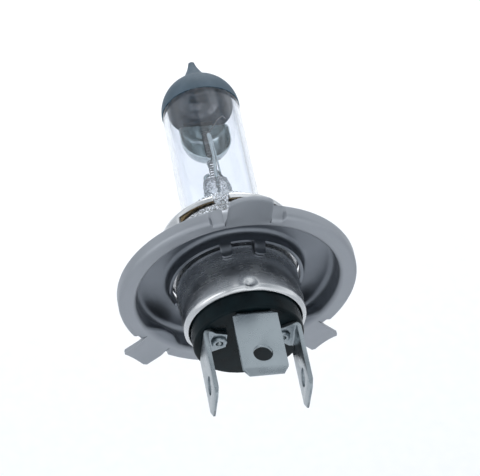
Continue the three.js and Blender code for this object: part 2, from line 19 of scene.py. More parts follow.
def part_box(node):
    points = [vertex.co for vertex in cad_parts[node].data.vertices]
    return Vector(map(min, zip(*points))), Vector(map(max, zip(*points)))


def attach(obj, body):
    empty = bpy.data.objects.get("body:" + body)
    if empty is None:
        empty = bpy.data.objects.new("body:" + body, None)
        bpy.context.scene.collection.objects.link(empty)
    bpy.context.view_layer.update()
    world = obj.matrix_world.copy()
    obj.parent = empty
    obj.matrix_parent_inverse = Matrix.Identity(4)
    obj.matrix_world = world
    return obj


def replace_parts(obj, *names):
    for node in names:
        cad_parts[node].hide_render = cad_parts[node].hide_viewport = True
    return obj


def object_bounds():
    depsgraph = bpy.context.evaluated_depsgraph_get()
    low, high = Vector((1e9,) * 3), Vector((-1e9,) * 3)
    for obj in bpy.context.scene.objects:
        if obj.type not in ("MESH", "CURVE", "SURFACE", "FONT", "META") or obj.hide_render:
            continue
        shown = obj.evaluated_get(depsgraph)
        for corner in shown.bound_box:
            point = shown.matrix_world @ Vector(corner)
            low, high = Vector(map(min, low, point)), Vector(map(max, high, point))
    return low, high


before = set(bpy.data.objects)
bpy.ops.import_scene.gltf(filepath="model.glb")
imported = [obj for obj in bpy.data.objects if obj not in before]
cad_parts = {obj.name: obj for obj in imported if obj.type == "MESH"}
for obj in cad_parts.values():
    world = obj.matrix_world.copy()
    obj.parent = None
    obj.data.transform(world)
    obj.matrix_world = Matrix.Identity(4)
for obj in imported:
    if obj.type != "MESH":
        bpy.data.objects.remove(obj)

cad_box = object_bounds()
MM = 0.001


def corners(node):
    """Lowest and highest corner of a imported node, in millimetres."""
    low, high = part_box(node)
    return np.array(low) / MM, np.array(high) / MM


print("packed nodes:", len(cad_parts), "box in mm:", [[round(v / MM, 1) for v in c] for c in cad_box])

# %% [markdown]
# ## Camera, floor and light
#
# A long lens flattens the bulb almost to a parallel view, so the rim keeps the same curve on both
# sides. The camera sits behind and above the contact blades and is rolled a few degrees. The camera's
# axes are built from three vectors, which is simpler to check than three Euler angles.

# %% Camera
VIEW_AZIMUTH = -16.05
VIEW_ELEVATION = 51.9
VIEW_ROLL = 8.0
VIEW_DISTANCE = 622.0
LENS_MM = 262.5
AIM_RIGHT = 0.39
AIM_UP = 8.75


def view_axes(azimuth, elevation, roll):
    """Right, up and backward unit vectors of a camera that looks at the object."""
    a, e, t = (math.radians(v) for v in (azimuth, elevation, roll))
    back = Vector((math.sin(a) * math.cos(e), -math.cos(a) * math.cos(e), math.sin(e)))
    level = Vector((0, 0, 1)).cross(back).normalized()
    upright = back.cross(level)
    right = math.cos(t) * level + math.sin(t) * upright
    return right, back.cross(right), back


right, up, back = view_axes(VIEW_AZIMUTH, VIEW_ELEVATION, VIEW_ROLL)
camera_data = bpy.data.cameras.new("camera")
camera_data.sensor_width = 36
camera_data.lens = LENS_MM
camera_data.clip_start = 0.01
camera = bpy.data.objects.new("camera", camera_data)
turn = Matrix((right, up, back)).transposed().to_4x4()
aim = AIM_RIGHT * right + AIM_UP * up
camera.matrix_world = Matrix.Translation((aim + VIEW_DISTANCE * back) * MM) @ turn
bpy.context.scene.collection.objects.link(camera)
bpy.context.scene.camera = camera
print("camera at mm:", [round(v / MM) for v in camera.matrix_world.translation])

# %% [markdown]
# ## Nodes and colours
#
# Every material below is a small tree around one Principled shader. One function adds a node with
# its settings and links, and one turns the sRGB hex colour that a person picks into the linear
# numbers that the renderer needs.

# %% Material helpers
def linear(hex_colour, alpha=1.0):
    """An sRGB hex colour as linear RGBA."""
    parts = [int(hex_colour[i:i + 2], 16) / 255 for i in (1, 3, 5)]
    return [c / 12.92 if c <= 0.04045 else ((c + 0.055) / 1.055) ** 2.4 for c in parts] + [alpha]


def add(tree, kind, settings=None, **links):
    """Adds a node. Settings are attributes or inputs by name, links are inputs fed by an output."""
    node = tree.nodes.new("ShaderNode" + kind)
    for name, value in (settings or {}).items():
        if isinstance(name, int) or name in node.inputs:
            node.inputs[name].default_value = value
        else:
            setattr(node, name, value)
    for name, output in links.items():
        key = int(name[1:]) if name[1:].isdigit() else name.replace("_", " ")
        tree.links.new(output, node.inputs[key])
    return node


def material(name, colour, **settings):
    """A new material with a Principled shader; returns it with its tree and the shader."""
    made = bpy.data.materials.new(name)
    made.use_nodes = True
    made.diffuse_color = linear(colour)
    tree = made.node_tree
    shader = tree.nodes["Principled BSDF"]
    shader.inputs["Base Color"].default_value = linear(colour)
    for key, value in settings.items():
        shader.inputs[key.replace("_", " ")].default_value = value
    return made, tree, shader


def per_metre(size_mm):
    """Texture scale at which one feature is about this many millimetres across."""
    return 1 / (size_mm * MM)


def ramp(tree, source, stops):
    """A colour ramp through (position, hex colour) stops."""
    node = add(tree, "ValToRGB", Fac=source)
    elements = node.color_ramp.elements
    while len(elements) < len(stops):
        elements.new(0.5)
    for element, (position, colour) in zip(elements, stops):
        element.position = position
        element.color = linear(colour)
    return node


def levels(tree, source, low, high, to_low, to_high):
    """Maps a value from one range to another."""
    settings = {"From Min": low, "From Max": high, "To Min": to_low, "To Max": to_high}
    return add(tree, "MapRange", settings, Value=source).outputs["Result"]


# %% [markdown]
# The floor is plain pale board, well below the bulb, so that only soft light comes back from it.
# The light is a white studio: a surround that is brightest near the horizon, so that edges and rolled
# rims catch it, and a little dimmer overhead, where the glass mirrors it. Wide soft lamps stand behind,
# in front, above and at the side, and two small ones light the board, so that it comes out white.

# %% Floor and light
FLOOR_DROP = 350.0
FLOOR_HALF = 3000.0
SKY_STRENGTH = 1.3
board, tree, shader = material("painted pale board", "#f6f7f8", Roughness=0.9)
shader.inputs["Specular IOR Level"].default_value = 0.1
place = add(tree, "TexCoord").outputs["Object"]
grain = add(tree, "TexNoise", {"Scale": per_metre(4), "Detail": 4.0}, Vector=place)
tone = ramp(tree, grain.outputs["Fac"], [(0.3, "#f5f6f8"), (0.7, "#f8f8f9")])
tree.links.new(tone.outputs["Color"], shader.inputs["Base Color"])
floor_mesh = bpy.data.meshes.new("floor")
floor_z = cad_box[0][2] - FLOOR_DROP * MM
floor_sides = ((-1, -1), (1, -1), (1, 1), (-1, 1))
floor_corners = [(FLOOR_HALF * MM * a, FLOOR_HALF * MM * b, floor_z) for a, b in floor_sides]
floor_mesh.from_pydata(floor_corners, [], [(0, 1, 2, 3)])
floor = bpy.data.objects.new("floor", floor_mesh)
floor_mesh.materials.append(board)
bpy.context.scene.collection.objects.link(floor)

scene = bpy.context.scene
scene.view_settings.view_transform = "Standard"
world = bpy.data.worlds.new("studio")
world.use_nodes = True
tree = world.node_tree
height = add(tree, "SeparateXYZ", Vector=add(tree, "TexCoord").outputs["Generated"])
sky = ramp(tree, height.outputs["Z"], [(0.0, "#eceff2"), (0.35, "#cfd3d7"), (0.75, "#a6abb0")])
tree.links.new(sky.outputs["Color"], tree.nodes["Background"].inputs["Color"])
tree.nodes["Background"].inputs["Strength"].default_value = SKY_STRENGTH
scene.world = world


def softbox(name, place, aim, size, watts):
    """A rectangular area light, placed and aimed in millimetres."""
    data = bpy.data.lights.new(name, "AREA")
    data.shape = "RECTANGLE"
    data.size, data.size_y = (s * MM for s in size)
    data.energy = watts
    light = bpy.data.objects.new(name, data)
    towards = (Vector(aim) - Vector(place)).to_track_quat("-Z", "Y")
    light.matrix_world = Matrix.Translation(Vector(place) * MM) @ towards.to_matrix().to_4x4()
    scene.collection.objects.link(light)


softbox("backdrop", (60, 620, 60), (60, 300, -370), (420, 300), 1.5)
softbox("rear", (160, 560, 760), (0, 0, 0), (900, 600), 1.0)
softbox("front", (100, -700, 520), (0, 0, 0), (700, 450), 0.7)
softbox("overhead", (0, -150, 800), (0, 0, 0), (700, 500), 0.5)
softbox("side", (-700, -250, 420), (0, 0, 0), (400, 600), 1.0)
softbox("low front", (180, -420, -150), (170, -280, -370), (160, 160), 0.15)
print("floor at mm:", round(floor_z / MM, 1))

# %% [markdown]
# ## Making meshes
#
# Nearly every piece is either turned about the lamp axis or pressed from sheet. A turned piece needs
# only its outline, with an arc at each corner, the way a tool radius leaves it.

# %% Outline and mesh helpers
def arc(r, y, radius, start, end, steps=12):
    """Points of an arc in the outline plane, angles in degrees."""
    angles = np.radians(np.linspace(start, end, steps + 1))
    return [(r + radius * math.cos(a), y + radius * math.sin(a)) for a in angles]


def add_piece(name, mesh, finish):
    """Puts a mesh in the scene in one finish, as a piece that belongs to the bulb."""
    mesh.materials.clear()
    mesh.materials.append(finish)
    piece = bpy.data.objects.new(name, mesh)
    scene.collection.objects.link(piece)
    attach(piece, "root")
    return piece


def mesh_from_curve(name, data):
    """The mesh that a curve makes. The curve itself is not kept."""
    source = bpy.data.objects.new(name, data)
    scene.collection.objects.link(source)
    graph = bpy.context.evaluated_depsgraph_get()
    mesh = bpy.data.meshes.new_from_object(source.evaluated_get(graph))
    bpy.data.objects.remove(source)
    mesh.shade_smooth()
    return mesh


def finish_mesh(name, vertices, faces, finish, slot, sharp=35):
    """Makes a piece from millimetre vertices, smooth except at edges sharper than the angle."""
    mesh = bpy.data.meshes.new(name)
    mesh.from_pydata([tuple(Vector(v) * MM) for v in vertices], [], faces)
    mesh.validate()
    work = bmesh.new()
    work.from_mesh(mesh)
    bmesh.ops.remove_doubles(work, verts=work.verts, dist=1e-7)
    bmesh.ops.dissolve_degenerate(work, dist=1e-8, edges=work.edges)
    bmesh.ops.recalc_face_normals(work, faces=work.faces)
    work.to_mesh(mesh)
    work.free()
    mesh.shade_smooth()
    mesh.set_sharp_from_angle(angle=math.radians(sharp))
    return add_piece(name, mesh, finish)


def turned_faces(profile, segments, centre=(0, 0)):
    """Vertices and faces of a closed outline of (r, y) points turned about an axis along Y."""
    rows = len(profile)
    vertices = []
    for k in range(segments):
        angle = 2 * math.pi * k / segments
        s, c = math.sin(angle), math.cos(angle)
        vertices += [(centre[0] + r * s, y, centre[1] + r * c) for r, y in profile]
    faces = []
    for k in range(segments):
        a, b = k * rows, ((k + 1) % segments) * rows
        for i in range(rows):
            j = (i + 1) % rows
            if profile[i][0] < 1e-6 and profile[j][0] < 1e-6:
                continue
            faces.append((a + i, a + j, b + j, b + i))
    return vertices, faces


def turned(name, profile, segments=160, centre=(0, 0), **finishing):
    """A piece turned from a closed outline."""
    vertices, faces = turned_faces(profile, segments, centre)
    return finish_mesh(name, vertices, faces, **finishing)


def shift_near(vertices, centre, radius, push):
    """Moves each vertex near a point by push times a smooth bump."""
    middle = Vector(centre)
    moved = []
    for v in vertices:
        near = 1 - (Vector(v) - middle).length / radius
        bump = near * near * (3 - 2 * near) if near > 0 else 0
        moved.append(tuple(Vector(v) + Vector(push) * bump))
    return moved


# %% [markdown]
# Sheet-metal pieces are grids of columns round the axis and rows along the sheet, with a point on
# each face of the sheet. Leaving cells out makes windows, notches and tabs, and the walls between
# the two faces close themselves. A bevel of a tenth of a millimetre then takes off the raw edge, as
# tumbling does after stamping.

# %% Pressed sheet
def pressed_sheet(name, columns, rows, outer, inner, kept, edge=0.1, closed=True, **finishing):
    """A sheet over a grid: outer(i, j) and inner(i, j) give its faces, kept(i, j) says which cells exist."""
    vertices = [outer(i, j) for i in range(columns) for j in range(rows)]
    vertices += [inner(i, j) for i in range(columns) for j in range(rows)]
    other = columns * rows
    last = columns if closed else columns - 1
    cells = {(i, j) for i in range(last) for j in range(rows - 1) if kept(i, j)}
    faces = []
    for i, j in cells:
        n = (i + 1) % columns
        a, b, c, d = i * rows + j, i * rows + j + 1, n * rows + j + 1, n * rows + j
        faces.append((a, b, c, d))
        faces.append((a + other, d + other, c + other, b + other))
        walls = {(i, j - 1): (a, d), (i, j + 1): (b, c), ((i - 1) % columns, j): (a, b), (n, j): (d, c)}
        for neighbour, (p, q) in walls.items():
            if neighbour not in cells:
                faces.append((p, q, q + other, p + other))
    piece = finish_mesh(name, vertices, faces, **finishing)
    if edge:
        bevel_edges(piece, edge)
    return piece


def bevel_edges(piece, width, angle=60, segments=2):
    """Rounds the sharp edges of a piece and keeps the rest of its surface as it is."""
    bevel = piece.modifiers.new("edge", "BEVEL")
    bevel.width = width * MM
    bevel.segments = segments
    bevel.angle_limit = math.radians(angle)
    bevel.harden_normals = False
    graph = bpy.context.evaluated_depsgraph_get()
    finished = bpy.data.meshes.new_from_object(piece.evaluated_get(graph))
    piece.modifiers.clear()
    old = piece.data
    piece.data = finished
    bpy.data.meshes.remove(old)
    finished.shade_smooth()
    finished.set_sharp_from_angle(angle=math.radians(40))


def angles_with(extra, step):
    """Even angles round the axis, in degrees, with some exact ones put in."""
    extra = sorted(a % 360 for a in extra)
    even = []
    for angle in np.arange(0, 360, step):
        if all(abs((angle - e + 180) % 360 - 180) > step / 3 for e in extra):
            even.append(angle)
    return sorted(even + extra)


def smooth(value, low, high):
    """0 below low, 1 above high, and a soft step between them."""
    t = min(max((value - low) / (high - low), 0), 1)
    return t * t * (3 - 2 * t)


# %% [markdown]
# ## Stainless steel for the focusing ring
#
# The ring is cold-rolled stainless sheet. Rolling leaves a satin grey surface with a very fine grain,
# and pressing polishes the walls of the dish while the brim stays dull. A metal's colour is its
# reflection, so the base colour is a mid grey and the roughness does most of the work. Inside the
# brim the base colour is darker: that is painted shade for the recessed dish. The rolled grain is
# finer than a pixel, so it is drawn at about 0.25 mm.

# %% Stainless steel
stainless, tree, shader = material("cold-rolled stainless steel", "#9a9ea4", Metallic=1.0, Roughness=0.32)
place = add(tree, "TexCoord").outputs["Object"]
grain = add(tree, "TexNoise", {"Scale": per_metre(0.25), "Detail": 3.0}, Vector=place)
cloud = add(tree, "TexNoise", {"Scale": per_metre(7), "Detail": 2.0}, Vector=place)
radius = add(tree, "VectorMath", {"operation": "LENGTH"},
             Vector=add(tree, "VectorMath", {"operation": "MULTIPLY", 1: (1, 0, 1)}, Vector=place).outputs[0])
# This mask is 0 in the dish and 1 on the brim. It makes the brim rougher, and it gives the dish a darker base
# colour as painted shade of the recess.
dull_brim_and_dish_shade_mask = levels(tree, radius.outputs["Value"], 17.6 * MM, 19.0 * MM, 0.0, 1.0)
tone = ramp(tree, cloud.outputs["Fac"], [(0.3, "#73787f"), (0.7, "#7c8188")])
dish_shade_and_brim_tone = add(tree, "Mix", {"data_type": "RGBA", 7: linear("#a0a4aa")},
                Factor=dull_brim_and_dish_shade_mask, i6=tone.outputs["Color"])
tree.links.new(dish_shade_and_brim_tone.outputs[2], shader.inputs["Base Color"])
rough = add(tree, "Math", {"operation": "ADD"},
            i0=levels(tree, dull_brim_and_dish_shade_mask, 0.0, 1.0, 0.36, 0.5),
            i1=levels(tree, grain.outputs["Fac"], 0.3, 0.7, -0.02, 0.02))
tree.links.new(rough.outputs[0], shader.inputs["Roughness"])

# %% [markdown]
# ## The focusing ring
#
# One sheet 0.8 mm thick makes the brim, the neck, the floor and the collar, and three lugs that key
# the bulb in the reflector. A boolean of a turned ring and boxes would leave hard seams, so the ring
# is one grid: inside a lug the columns run parallel out to its end, beside it they stop at the
# relief notch, and six short flaps of the collar become the tabs that are welded to the cap shell.

# %% Focusing ring
ring_low, ring_high = corners("focusing_ring")
shell_low, shell_high = corners("cap_shell")
BRIM_R = ring_high[0]
NECK_R = 19.0
SHEET = 0.8
COLLAR_SHEET = 0.6
TAB_SHEET = 0.45
shell_r = shell_high[0]
SHELL_CLEAR = 0.12
collar_r = shell_r + 0.5 + COLLAR_SHEET
collar_edge_y = 1.2
floor_y = ring_high[1] - SHEET
split_r = 19.4
RIM_EDGE_Y = 1.6
LUGS = [
    {"angle": 0.0, "half": 3.9, "end": ring_high[2], "arch": 0.7, "relief": 2.0, "relief_r": 20.4},
    {"angle": 135.0, "half": 3.0, "end": BRIM_R + 3.7, "arch": 0.5, "relief": 1.0, "relief_r": 20.9},
    {"angle": 225.0, "half": 3.0, "end": BRIM_R + 3.7, "arch": 0.5, "relief": 1.0, "relief_r": 20.9},
]
SLIT = 0.12
TAB_HALF = 1.05
TAB_END_Y = ring_low[1]
TAB_ANGLES = [at + side * 15 for at in (0, 120, 240) for side in (-1, 1)]
POCKET_DEPTH = 1.8

sheet_line = [(collar_r, collar_edge_y), (collar_r, collar_edge_y + 0.5)]
sheet_line += arc(collar_r + 1, floor_y - 1, 1, 180, 90, 8)
sheet_line += [(r, floor_y) for r in np.arange(14.0, 16.9, 0.5)]
sheet_line += arc(NECK_R - 2, floor_y - 1.2, 1.2, 90, 0, 8)
sheet_line += [(NECK_R - SHEET, y) for y in np.arange(1.8, 0.3, -0.4)]
sheet_line += arc(NECK_R - SHEET + 1, 0.2, 1, 180, 270, 8)
sheet_line += [(split_r, -SHEET)]
line = np.array(sheet_line)
slope = np.gradient(line, axis=0)
normal = np.stack([-slope[:, 1], slope[:, 0]], axis=1)
normal /= np.linalg.norm(normal, axis=1)[:, None]
thick = np.interp(np.arange(len(line)), [0, 10, 14], [COLLAR_SHEET, COLLAR_SHEET, SHEET])
inner_line = line + normal * thick[:, None]
inner_line[inner_line[:, 1] > ring_high[1], 1] = ring_high[1]

TAB_ROWS = 8
FLAP_ROWS = 10


def rim_line(rim_r):
    """Both faces of the sheet from the brim round the bend and up the turned-up rim."""
    bend_r = rim_r - SHEET
    flat = [split_r + (bend_r - split_r) * k / 3 for k in (1, 2, 3)]
    up = [RIM_EDGE_Y * k / 3 for k in (1, 2, 3)]
    out = [(BRIM_R - rim_r) * k / 3 for k in (1, 2, 3)]
    outside = [(r, -SHEET) for r in flat] + arc(bend_r, 0, SHEET, 270, 360, 4)[1:]
    outside += [(rim_r + o, y) for o, y in zip(out, up)]
    inside = [(r, 0) for r in flat[:2]] + arc(bend_r - 0.15, 0.15, 0.15, 270, 360, 4)
    inside += [(bend_r + o, y) for o, y in zip(out, up)]
    return outside, inside


rims = {lug["relief_r"]: rim_line(lug["relief_r"]) for lug in LUGS}
rims[BRIM_R] = rim_line(BRIM_R)
ring_rows = TAB_ROWS + len(line) + FLAP_ROWS


def side_angle(x, r):
    """Angle at radius r of a point x to the side of the middle."""
    return math.degrees(math.asin(x / r))


exact = [tab + s * side_angle(TAB_HALF, collar_r) for tab in TAB_ANGLES for s in (-1, 1)]
for lug in LUGS:
    for extra in (0, SLIT, lug["relief"], lug["relief"] + 0.3):
        x = lug["half"] + extra
        exact += [lug["angle"] + s * side_angle(x, split_r) for s in (-1, 1)]
ring_angles = angles_with(exact, 1.25)


def nearest(angle, centres):
    """Signed angle from the nearest centre, and that centre's index."""
    turns = [(angle - c + 180) % 360 - 180 for c in centres]
    index = min(range(len(turns)), key=lambda k: abs(turns[k]))
    return turns[index], index


def pocket(x, r, y):
    """How far the top of the dish wall is pressed in behind a side lug."""
    rise = (1 - smooth(y, 0.3, 2.8)) * smooth(r, 15.5, 17.0) * (1 - smooth(r, 18.4, split_r))
    return POCKET_DEPTH * rise * (1 - smooth(abs(x), 0.8, 5.2))


def ring_point(column, row, face):
    """A point on the visible face (0) or the far face (1) of the ring's sheet."""
    angle = ring_angles[column]
    turn, index = nearest(angle, [lug["angle"] for lug in LUGS])
    lug = LUGS[index]
    base = math.radians(lug["angle"])
    if row < TAB_ROWS:
        tab_turn, _ = nearest(angle, TAB_ANGLES)
        x = collar_r * math.sin(math.radians(tab_turn))
        round_off = 0.35 * smooth(abs(x), TAB_HALF - 0.5, TAB_HALF)
        t = 1 - row / TAB_ROWS
        y = collar_edge_y + (TAB_END_Y + round_off - collar_edge_y) * t
        step = smooth(t, 0.0, 0.8)
        outside = collar_r + (shell_r + SHELL_CLEAR + TAB_SHEET - collar_r) * step
        depth = COLLAR_SHEET + (TAB_SHEET - COLLAR_SHEET) * step
        r = outside - face * depth
        a = math.radians(angle)
        return (r * math.sin(a), y, r * math.cos(a))
    k = row - TAB_ROWS
    if k < len(line):
        base_r = line[k][0]
        r, y = (inner_line if face else line)[k]
        x, z = r * math.sin(math.radians(turn)), r * math.cos(math.radians(turn))
        if index > 0 and z > 0:
            z -= pocket(x, base_r, line[k][1])
    else:
        t = (k - len(line) + 1) / FLAP_ROWS
        x0 = split_r * math.sin(math.radians(turn))
        z0 = split_r * math.cos(math.radians(turn))
        half = lug["half"]
        if z0 > 0 and abs(x0) <= half + 1e-6:
            y = 0.0 if face else -SHEET
            corner = 0.5
            over = max(0, abs(x0) - (half - corner))
            drop = corner - math.sqrt(max(corner ** 2 - over ** 2, 0))
            z1 = math.sqrt(lug["end"] ** 2 - x0 ** 2) - drop * 0.9
            x, z = x0, z0 + (z1 - z0) * t
            y -= lug["arch"] * (x / half) ** 2 * smooth(t, 0.0, 0.4)
        else:
            in_relief = z0 > 0 and abs(x0) <= half + lug["relief"] + 1e-6
            rim = rims[lug["relief_r"] if in_relief else BRIM_R]
            r, y = rim[face][k - len(line)]
            x, z = r * math.sin(math.radians(turn)), r * math.cos(math.radians(turn))
    c, s = math.cos(base), math.sin(base)
    return (x * c + z * s, y, -x * s + z * c)


def ring_kept(column, row):
    """Leaves out the gaps between the tabs and the slits beside the lugs."""
    following = ring_angles[(column + 1) % len(ring_angles)]
    middle = ring_angles[column] + ((following - ring_angles[column]) % 360) / 2
    if row < TAB_ROWS:
        turn, _ = nearest(middle, TAB_ANGLES)
        return abs(turn) < side_angle(TAB_HALF, collar_r)
    if row >= TAB_ROWS + len(line) - 1:
        turn, index = nearest(middle, [lug["angle"] for lug in LUGS])
        x = abs(split_r * math.sin(math.radians(turn))) if abs(turn) < 90 else split_r
        half = LUGS[index]["half"]
        return not half < x < half + SLIT
    return True


ring = pressed_sheet("focusing_ring_sheet", len(ring_angles), ring_rows,
                     lambda i, j: ring_point(i, j, 0), lambda i, j: ring_point(i, j, 1), ring_kept,
                     edge=0.12, finish=stainless, slot="ring_stainless")
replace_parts(ring, "focusing_ring")
print("ring faces:", len(ring.data.polygons))

# %% [markdown]
# ## Nickel-plated steel for the cap shell and the bulb holder
#
# Both are deep-drawn steel with bright nickel. Drawing leaves faint lines round the wall, about
# 0.1 mm apart; they are drawn a little coarser so that they show. Nickel plate is brighter and
# smoother than the rolled ring, with duller patches a few millimetres across where it was handled.

# %% Nickel plate
nickel, tree, shader = material("nickel-plated steel", "#85878a", Metallic=1.0, Roughness=0.24)
place = add(tree, "TexCoord").outputs["Object"]
drawn = add(tree, "VectorMath", {"operation": "MULTIPLY", 1: (0.12, 1, 0.12)}, Vector=place)
lines = add(tree, "TexNoise", {"Scale": per_metre(0.3), "Detail": 2.0}, Vector=drawn.outputs[0])
cloud = add(tree, "TexNoise", {"Scale": per_metre(3.5), "Detail": 3.0}, Vector=place)
tone = ramp(tree, cloud.outputs["Fac"], [(0.3, "#c8cacc"), (0.7, "#d6d8da")])
tree.links.new(tone.outputs["Color"], shader.inputs["Base Color"])
rough = add(tree, "Math", {"operation": "ADD"},
            i0=levels(tree, cloud.outputs["Fac"], 0.3, 0.7, 0.2, 0.3),
            i1=levels(tree, lines.outputs["Fac"], 0.3, 0.7, -0.04, 0.04))
tree.links.new(rough.outputs[0], shader.inputs["Roughness"])
bump = add(tree, "Bump", {"Strength": 0.05, "Distance": 0.0007 * MM}, Height=lines.outputs["Fac"])
tree.links.new(bump.outputs[0], shader.inputs["Normal"])

# %% [markdown]
# ## The cap shell
#
# A drawn sleeve whose rear edge is rolled in over the insulator, with three crimps that stop the
# insulator turning. It is a turned outline; the crimps are dents pushed into its vertices, so the
# wall bends softly round them as real metal does.

# %% Cap shell
plug_low, plug_high = corners("insulator")
plug_r = shell_r - 1.1
SHELL_SHEET = 0.5
LIP_R = 1.0
CRIMP_R = 1.5
CRIMP_DEPTH = 0.45
lip_in = plug_r + 0.12
shell_rear, shell_front = shell_low[1], shell_high[1]
outside = [(shell_r, y) for y in np.arange(shell_rear + LIP_R + 0.3, shell_front, 0.3)]
shell_line = [(lip_in, shell_rear + 0.9), (lip_in, shell_rear + 0.35)]
shell_line += arc(lip_in + 0.3, shell_rear + 0.3, 0.3, 180, 262, 5)[1:]
shell_line += arc(shell_r - LIP_R, shell_rear + LIP_R, LIP_R, 282, 360, 14)
shell_line += outside + [(shell_r, shell_front), (shell_r - SHELL_SHEET, shell_front)]
shell_line += [(shell_r - SHELL_SHEET, shell_rear + LIP_R + 0.4)]
shell_vertices, shell_faces = turned_faces(shell_line, 224)
for at in (0, 120, 240):
    out = Vector((math.sin(math.radians(at)), 0, math.cos(math.radians(at))))
    spot = out * shell_r + Vector((0, shell_rear + LIP_R + 0.15, 0))
    shell_vertices = shift_near(shell_vertices, spot, CRIMP_R, -CRIMP_DEPTH * out)
shell = finish_mesh("cap_shell_sleeve", shell_vertices, shell_faces, finish=nickel, slot="shell_nickel_steel")
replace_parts(shell, "cap_shell")
print("shell faces:", len(shell.data.polygons))

# %% [markdown]
# ## The bulb holder
#
# The polished collar on the lamp side. It is pressed sheet with three wide windows under its rim,
# and a notch in the rim. The windows are cells left out of the grid.

# %% Bulb holder
holder_low, holder_high = corners("bulb_holder")
glass_low, glass_high = corners("glass_envelope")
HOLDER_SHEET = 0.5
SHOULDER = 1.2
WINDOW_HALF = 52.0
NOTCH_ANGLE = -10.0
NOTCH_HALF = 7.2
RIM = 1.6
WINDOW_TALL = 3.9
holder_r, holder_top = holder_high[0] + 0.2, holder_high[1]
opening_r = 9.25
window_top = holder_top - RIM
window_rear = window_top - WINDOW_TALL
wall_ys = [holder_low[1], 5.2, 5.9, window_rear, 8.1, 9.1, 10.1, window_top - 0.1, window_top]
holder_line = [(holder_r, y) for y in wall_ys]
holder_line += arc(holder_r - SHOULDER, holder_top - SHOULDER, SHOULDER, 2, 90, 14)
holder_line += [(opening_r + 0.5, holder_top), (opening_r, holder_top)]
holder_inner = [(holder_r - HOLDER_SHEET, y) for y in wall_ys]
holder_inner += arc(holder_r - SHOULDER, holder_top - SHOULDER, SHOULDER - HOLDER_SHEET, 2, 90, 14)
holder_inner += [(opening_r + 0.5, holder_top - HOLDER_SHEET), (opening_r, holder_top - HOLDER_SHEET)]
window_sides = [at + s * WINDOW_HALF for at in (0, 120, 240) for s in (-1, 1)]
holder_angles = angles_with(window_sides + [NOTCH_ANGLE - NOTCH_HALF, NOTCH_ANGLE + NOTCH_HALF], 2.0)


def holder_point(outline, column, row):
    """A point of one face of the collar's sheet."""
    a = math.radians(holder_angles[column])
    r, y = outline[row]
    return (r * math.sin(a), y, r * math.cos(a))


def holder_kept(column, row):
    """Leaves out the windows and the notch."""
    following = holder_angles[(column + 1) % len(holder_angles)]
    middle = holder_angles[column] + ((following - holder_angles[column]) % 360) / 2
    turn, _ = nearest(middle, (0, 120, 240))
    y = (holder_line[row][1] + holder_line[row + 1][1]) / 2
    in_window = abs(turn) < WINDOW_HALF and window_rear < y < window_top - 0.1
    notch_turn, _ = nearest(middle, (NOTCH_ANGLE,))
    in_notch = abs(notch_turn) < NOTCH_HALF and y > window_rear
    return not (in_window or in_notch)


holder = pressed_sheet("bulb_holder_collar", len(holder_angles), len(holder_line),
                       lambda i, j: holder_point(holder_line, i, j),
                       lambda i, j: holder_point(holder_inner, i, j), holder_kept,
                       edge=0.08, finish=nickel, slot="shell_nickel_steel")
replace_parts(holder, "bulb_holder")

# %% [markdown]
# ## Phosphor bronze and the pinch clip
#
# The sprung cup that grips the flat end of the glass is bronze, warm brown and bright where it was
# rolled. It shows only through the windows, as a band of warm colour with one long highlight.

# %% Pinch clip
bronze, tree, shader = material("phosphor bronze", "#9a8f7e", Metallic=1.0, Roughness=0.22)
place = add(tree, "TexCoord").outputs["Object"]
cloud = add(tree, "TexNoise", {"Scale": per_metre(2.2), "Detail": 3.0}, Vector=place)
tone = ramp(tree, cloud.outputs["Fac"], [(0.3, "#8a7558"), (0.7, "#ab9672")])
tree.links.new(tone.outputs["Color"], shader.inputs["Base Color"])
tree.links.new(levels(tree, cloud.outputs["Fac"], 0.3, 0.7, 0.16, 0.3), shader.inputs["Roughness"])
clip_low, clip_high = corners("pinch_clip")
clip_r, clip_rear, clip_top = clip_high[0], clip_low[1], clip_high[1]
CLIP_SHEET = 0.4
CLIP_FLOOR_R = 7.0
bend = 1.8
clip_line = [(CLIP_FLOOR_R, clip_rear), (clip_r, clip_rear)]
clip_line += arc(clip_r - bend, clip_top - bend, bend, 0, 90, 12)
clip_line += arc(clip_r - bend, clip_top - bend, bend - CLIP_SHEET, 90, 0, 12)
clip_line += [(clip_r - CLIP_SHEET, clip_rear + CLIP_SHEET), (CLIP_FLOOR_R, clip_rear + CLIP_SHEET)]
clip = turned("pinch_clip_cup", clip_line, 128, finish=bronze, slot="clip_bronze")
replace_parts(clip, "pinch_clip")

# %% [markdown]
# ## Black phenolic and the insulator
#
# The plug that carries the blades is compression-moulded phenolic: black with a trace of green, and
# a mould gloss that breaks up into a faint orange peel about 0.4 mm across.

# %% Insulator
phenolic, tree, shader = material("black phenolic", "#0a0f12", Roughness=0.35, IOR=1.5)
shader.inputs["Specular IOR Level"].default_value = 0.08
place = add(tree, "TexCoord").outputs["Object"]
peel = add(tree, "TexNoise", {"Scale": per_metre(0.4), "Detail": 2.0}, Vector=place)
cloud = add(tree, "TexNoise", {"Scale": per_metre(3), "Detail": 2.0}, Vector=place)
tone = ramp(tree, cloud.outputs["Fac"], [(0.3, "#080f12"), (0.7, "#101d21")])
tree.links.new(tone.outputs["Color"], shader.inputs["Base Color"])
tree.links.new(levels(tree, cloud.outputs["Fac"], 0.3, 0.7, 0.22, 0.4), shader.inputs["Roughness"])
bump = add(tree, "Bump", {"Strength": 0.25, "Distance": 0.02 * MM}, Height=peel.outputs["Fac"])
tree.links.new(bump.outputs[0], shader.inputs["Normal"])
PLUG_EDGE = 0.45
PLUG_DEEP = 4.0
FLANGE_TALL = 3.5
plug_rear = plug_low[1]
flange_r, flange_front = plug_high[0], plug_high[1]
flange_rear = flange_front - FLANGE_TALL
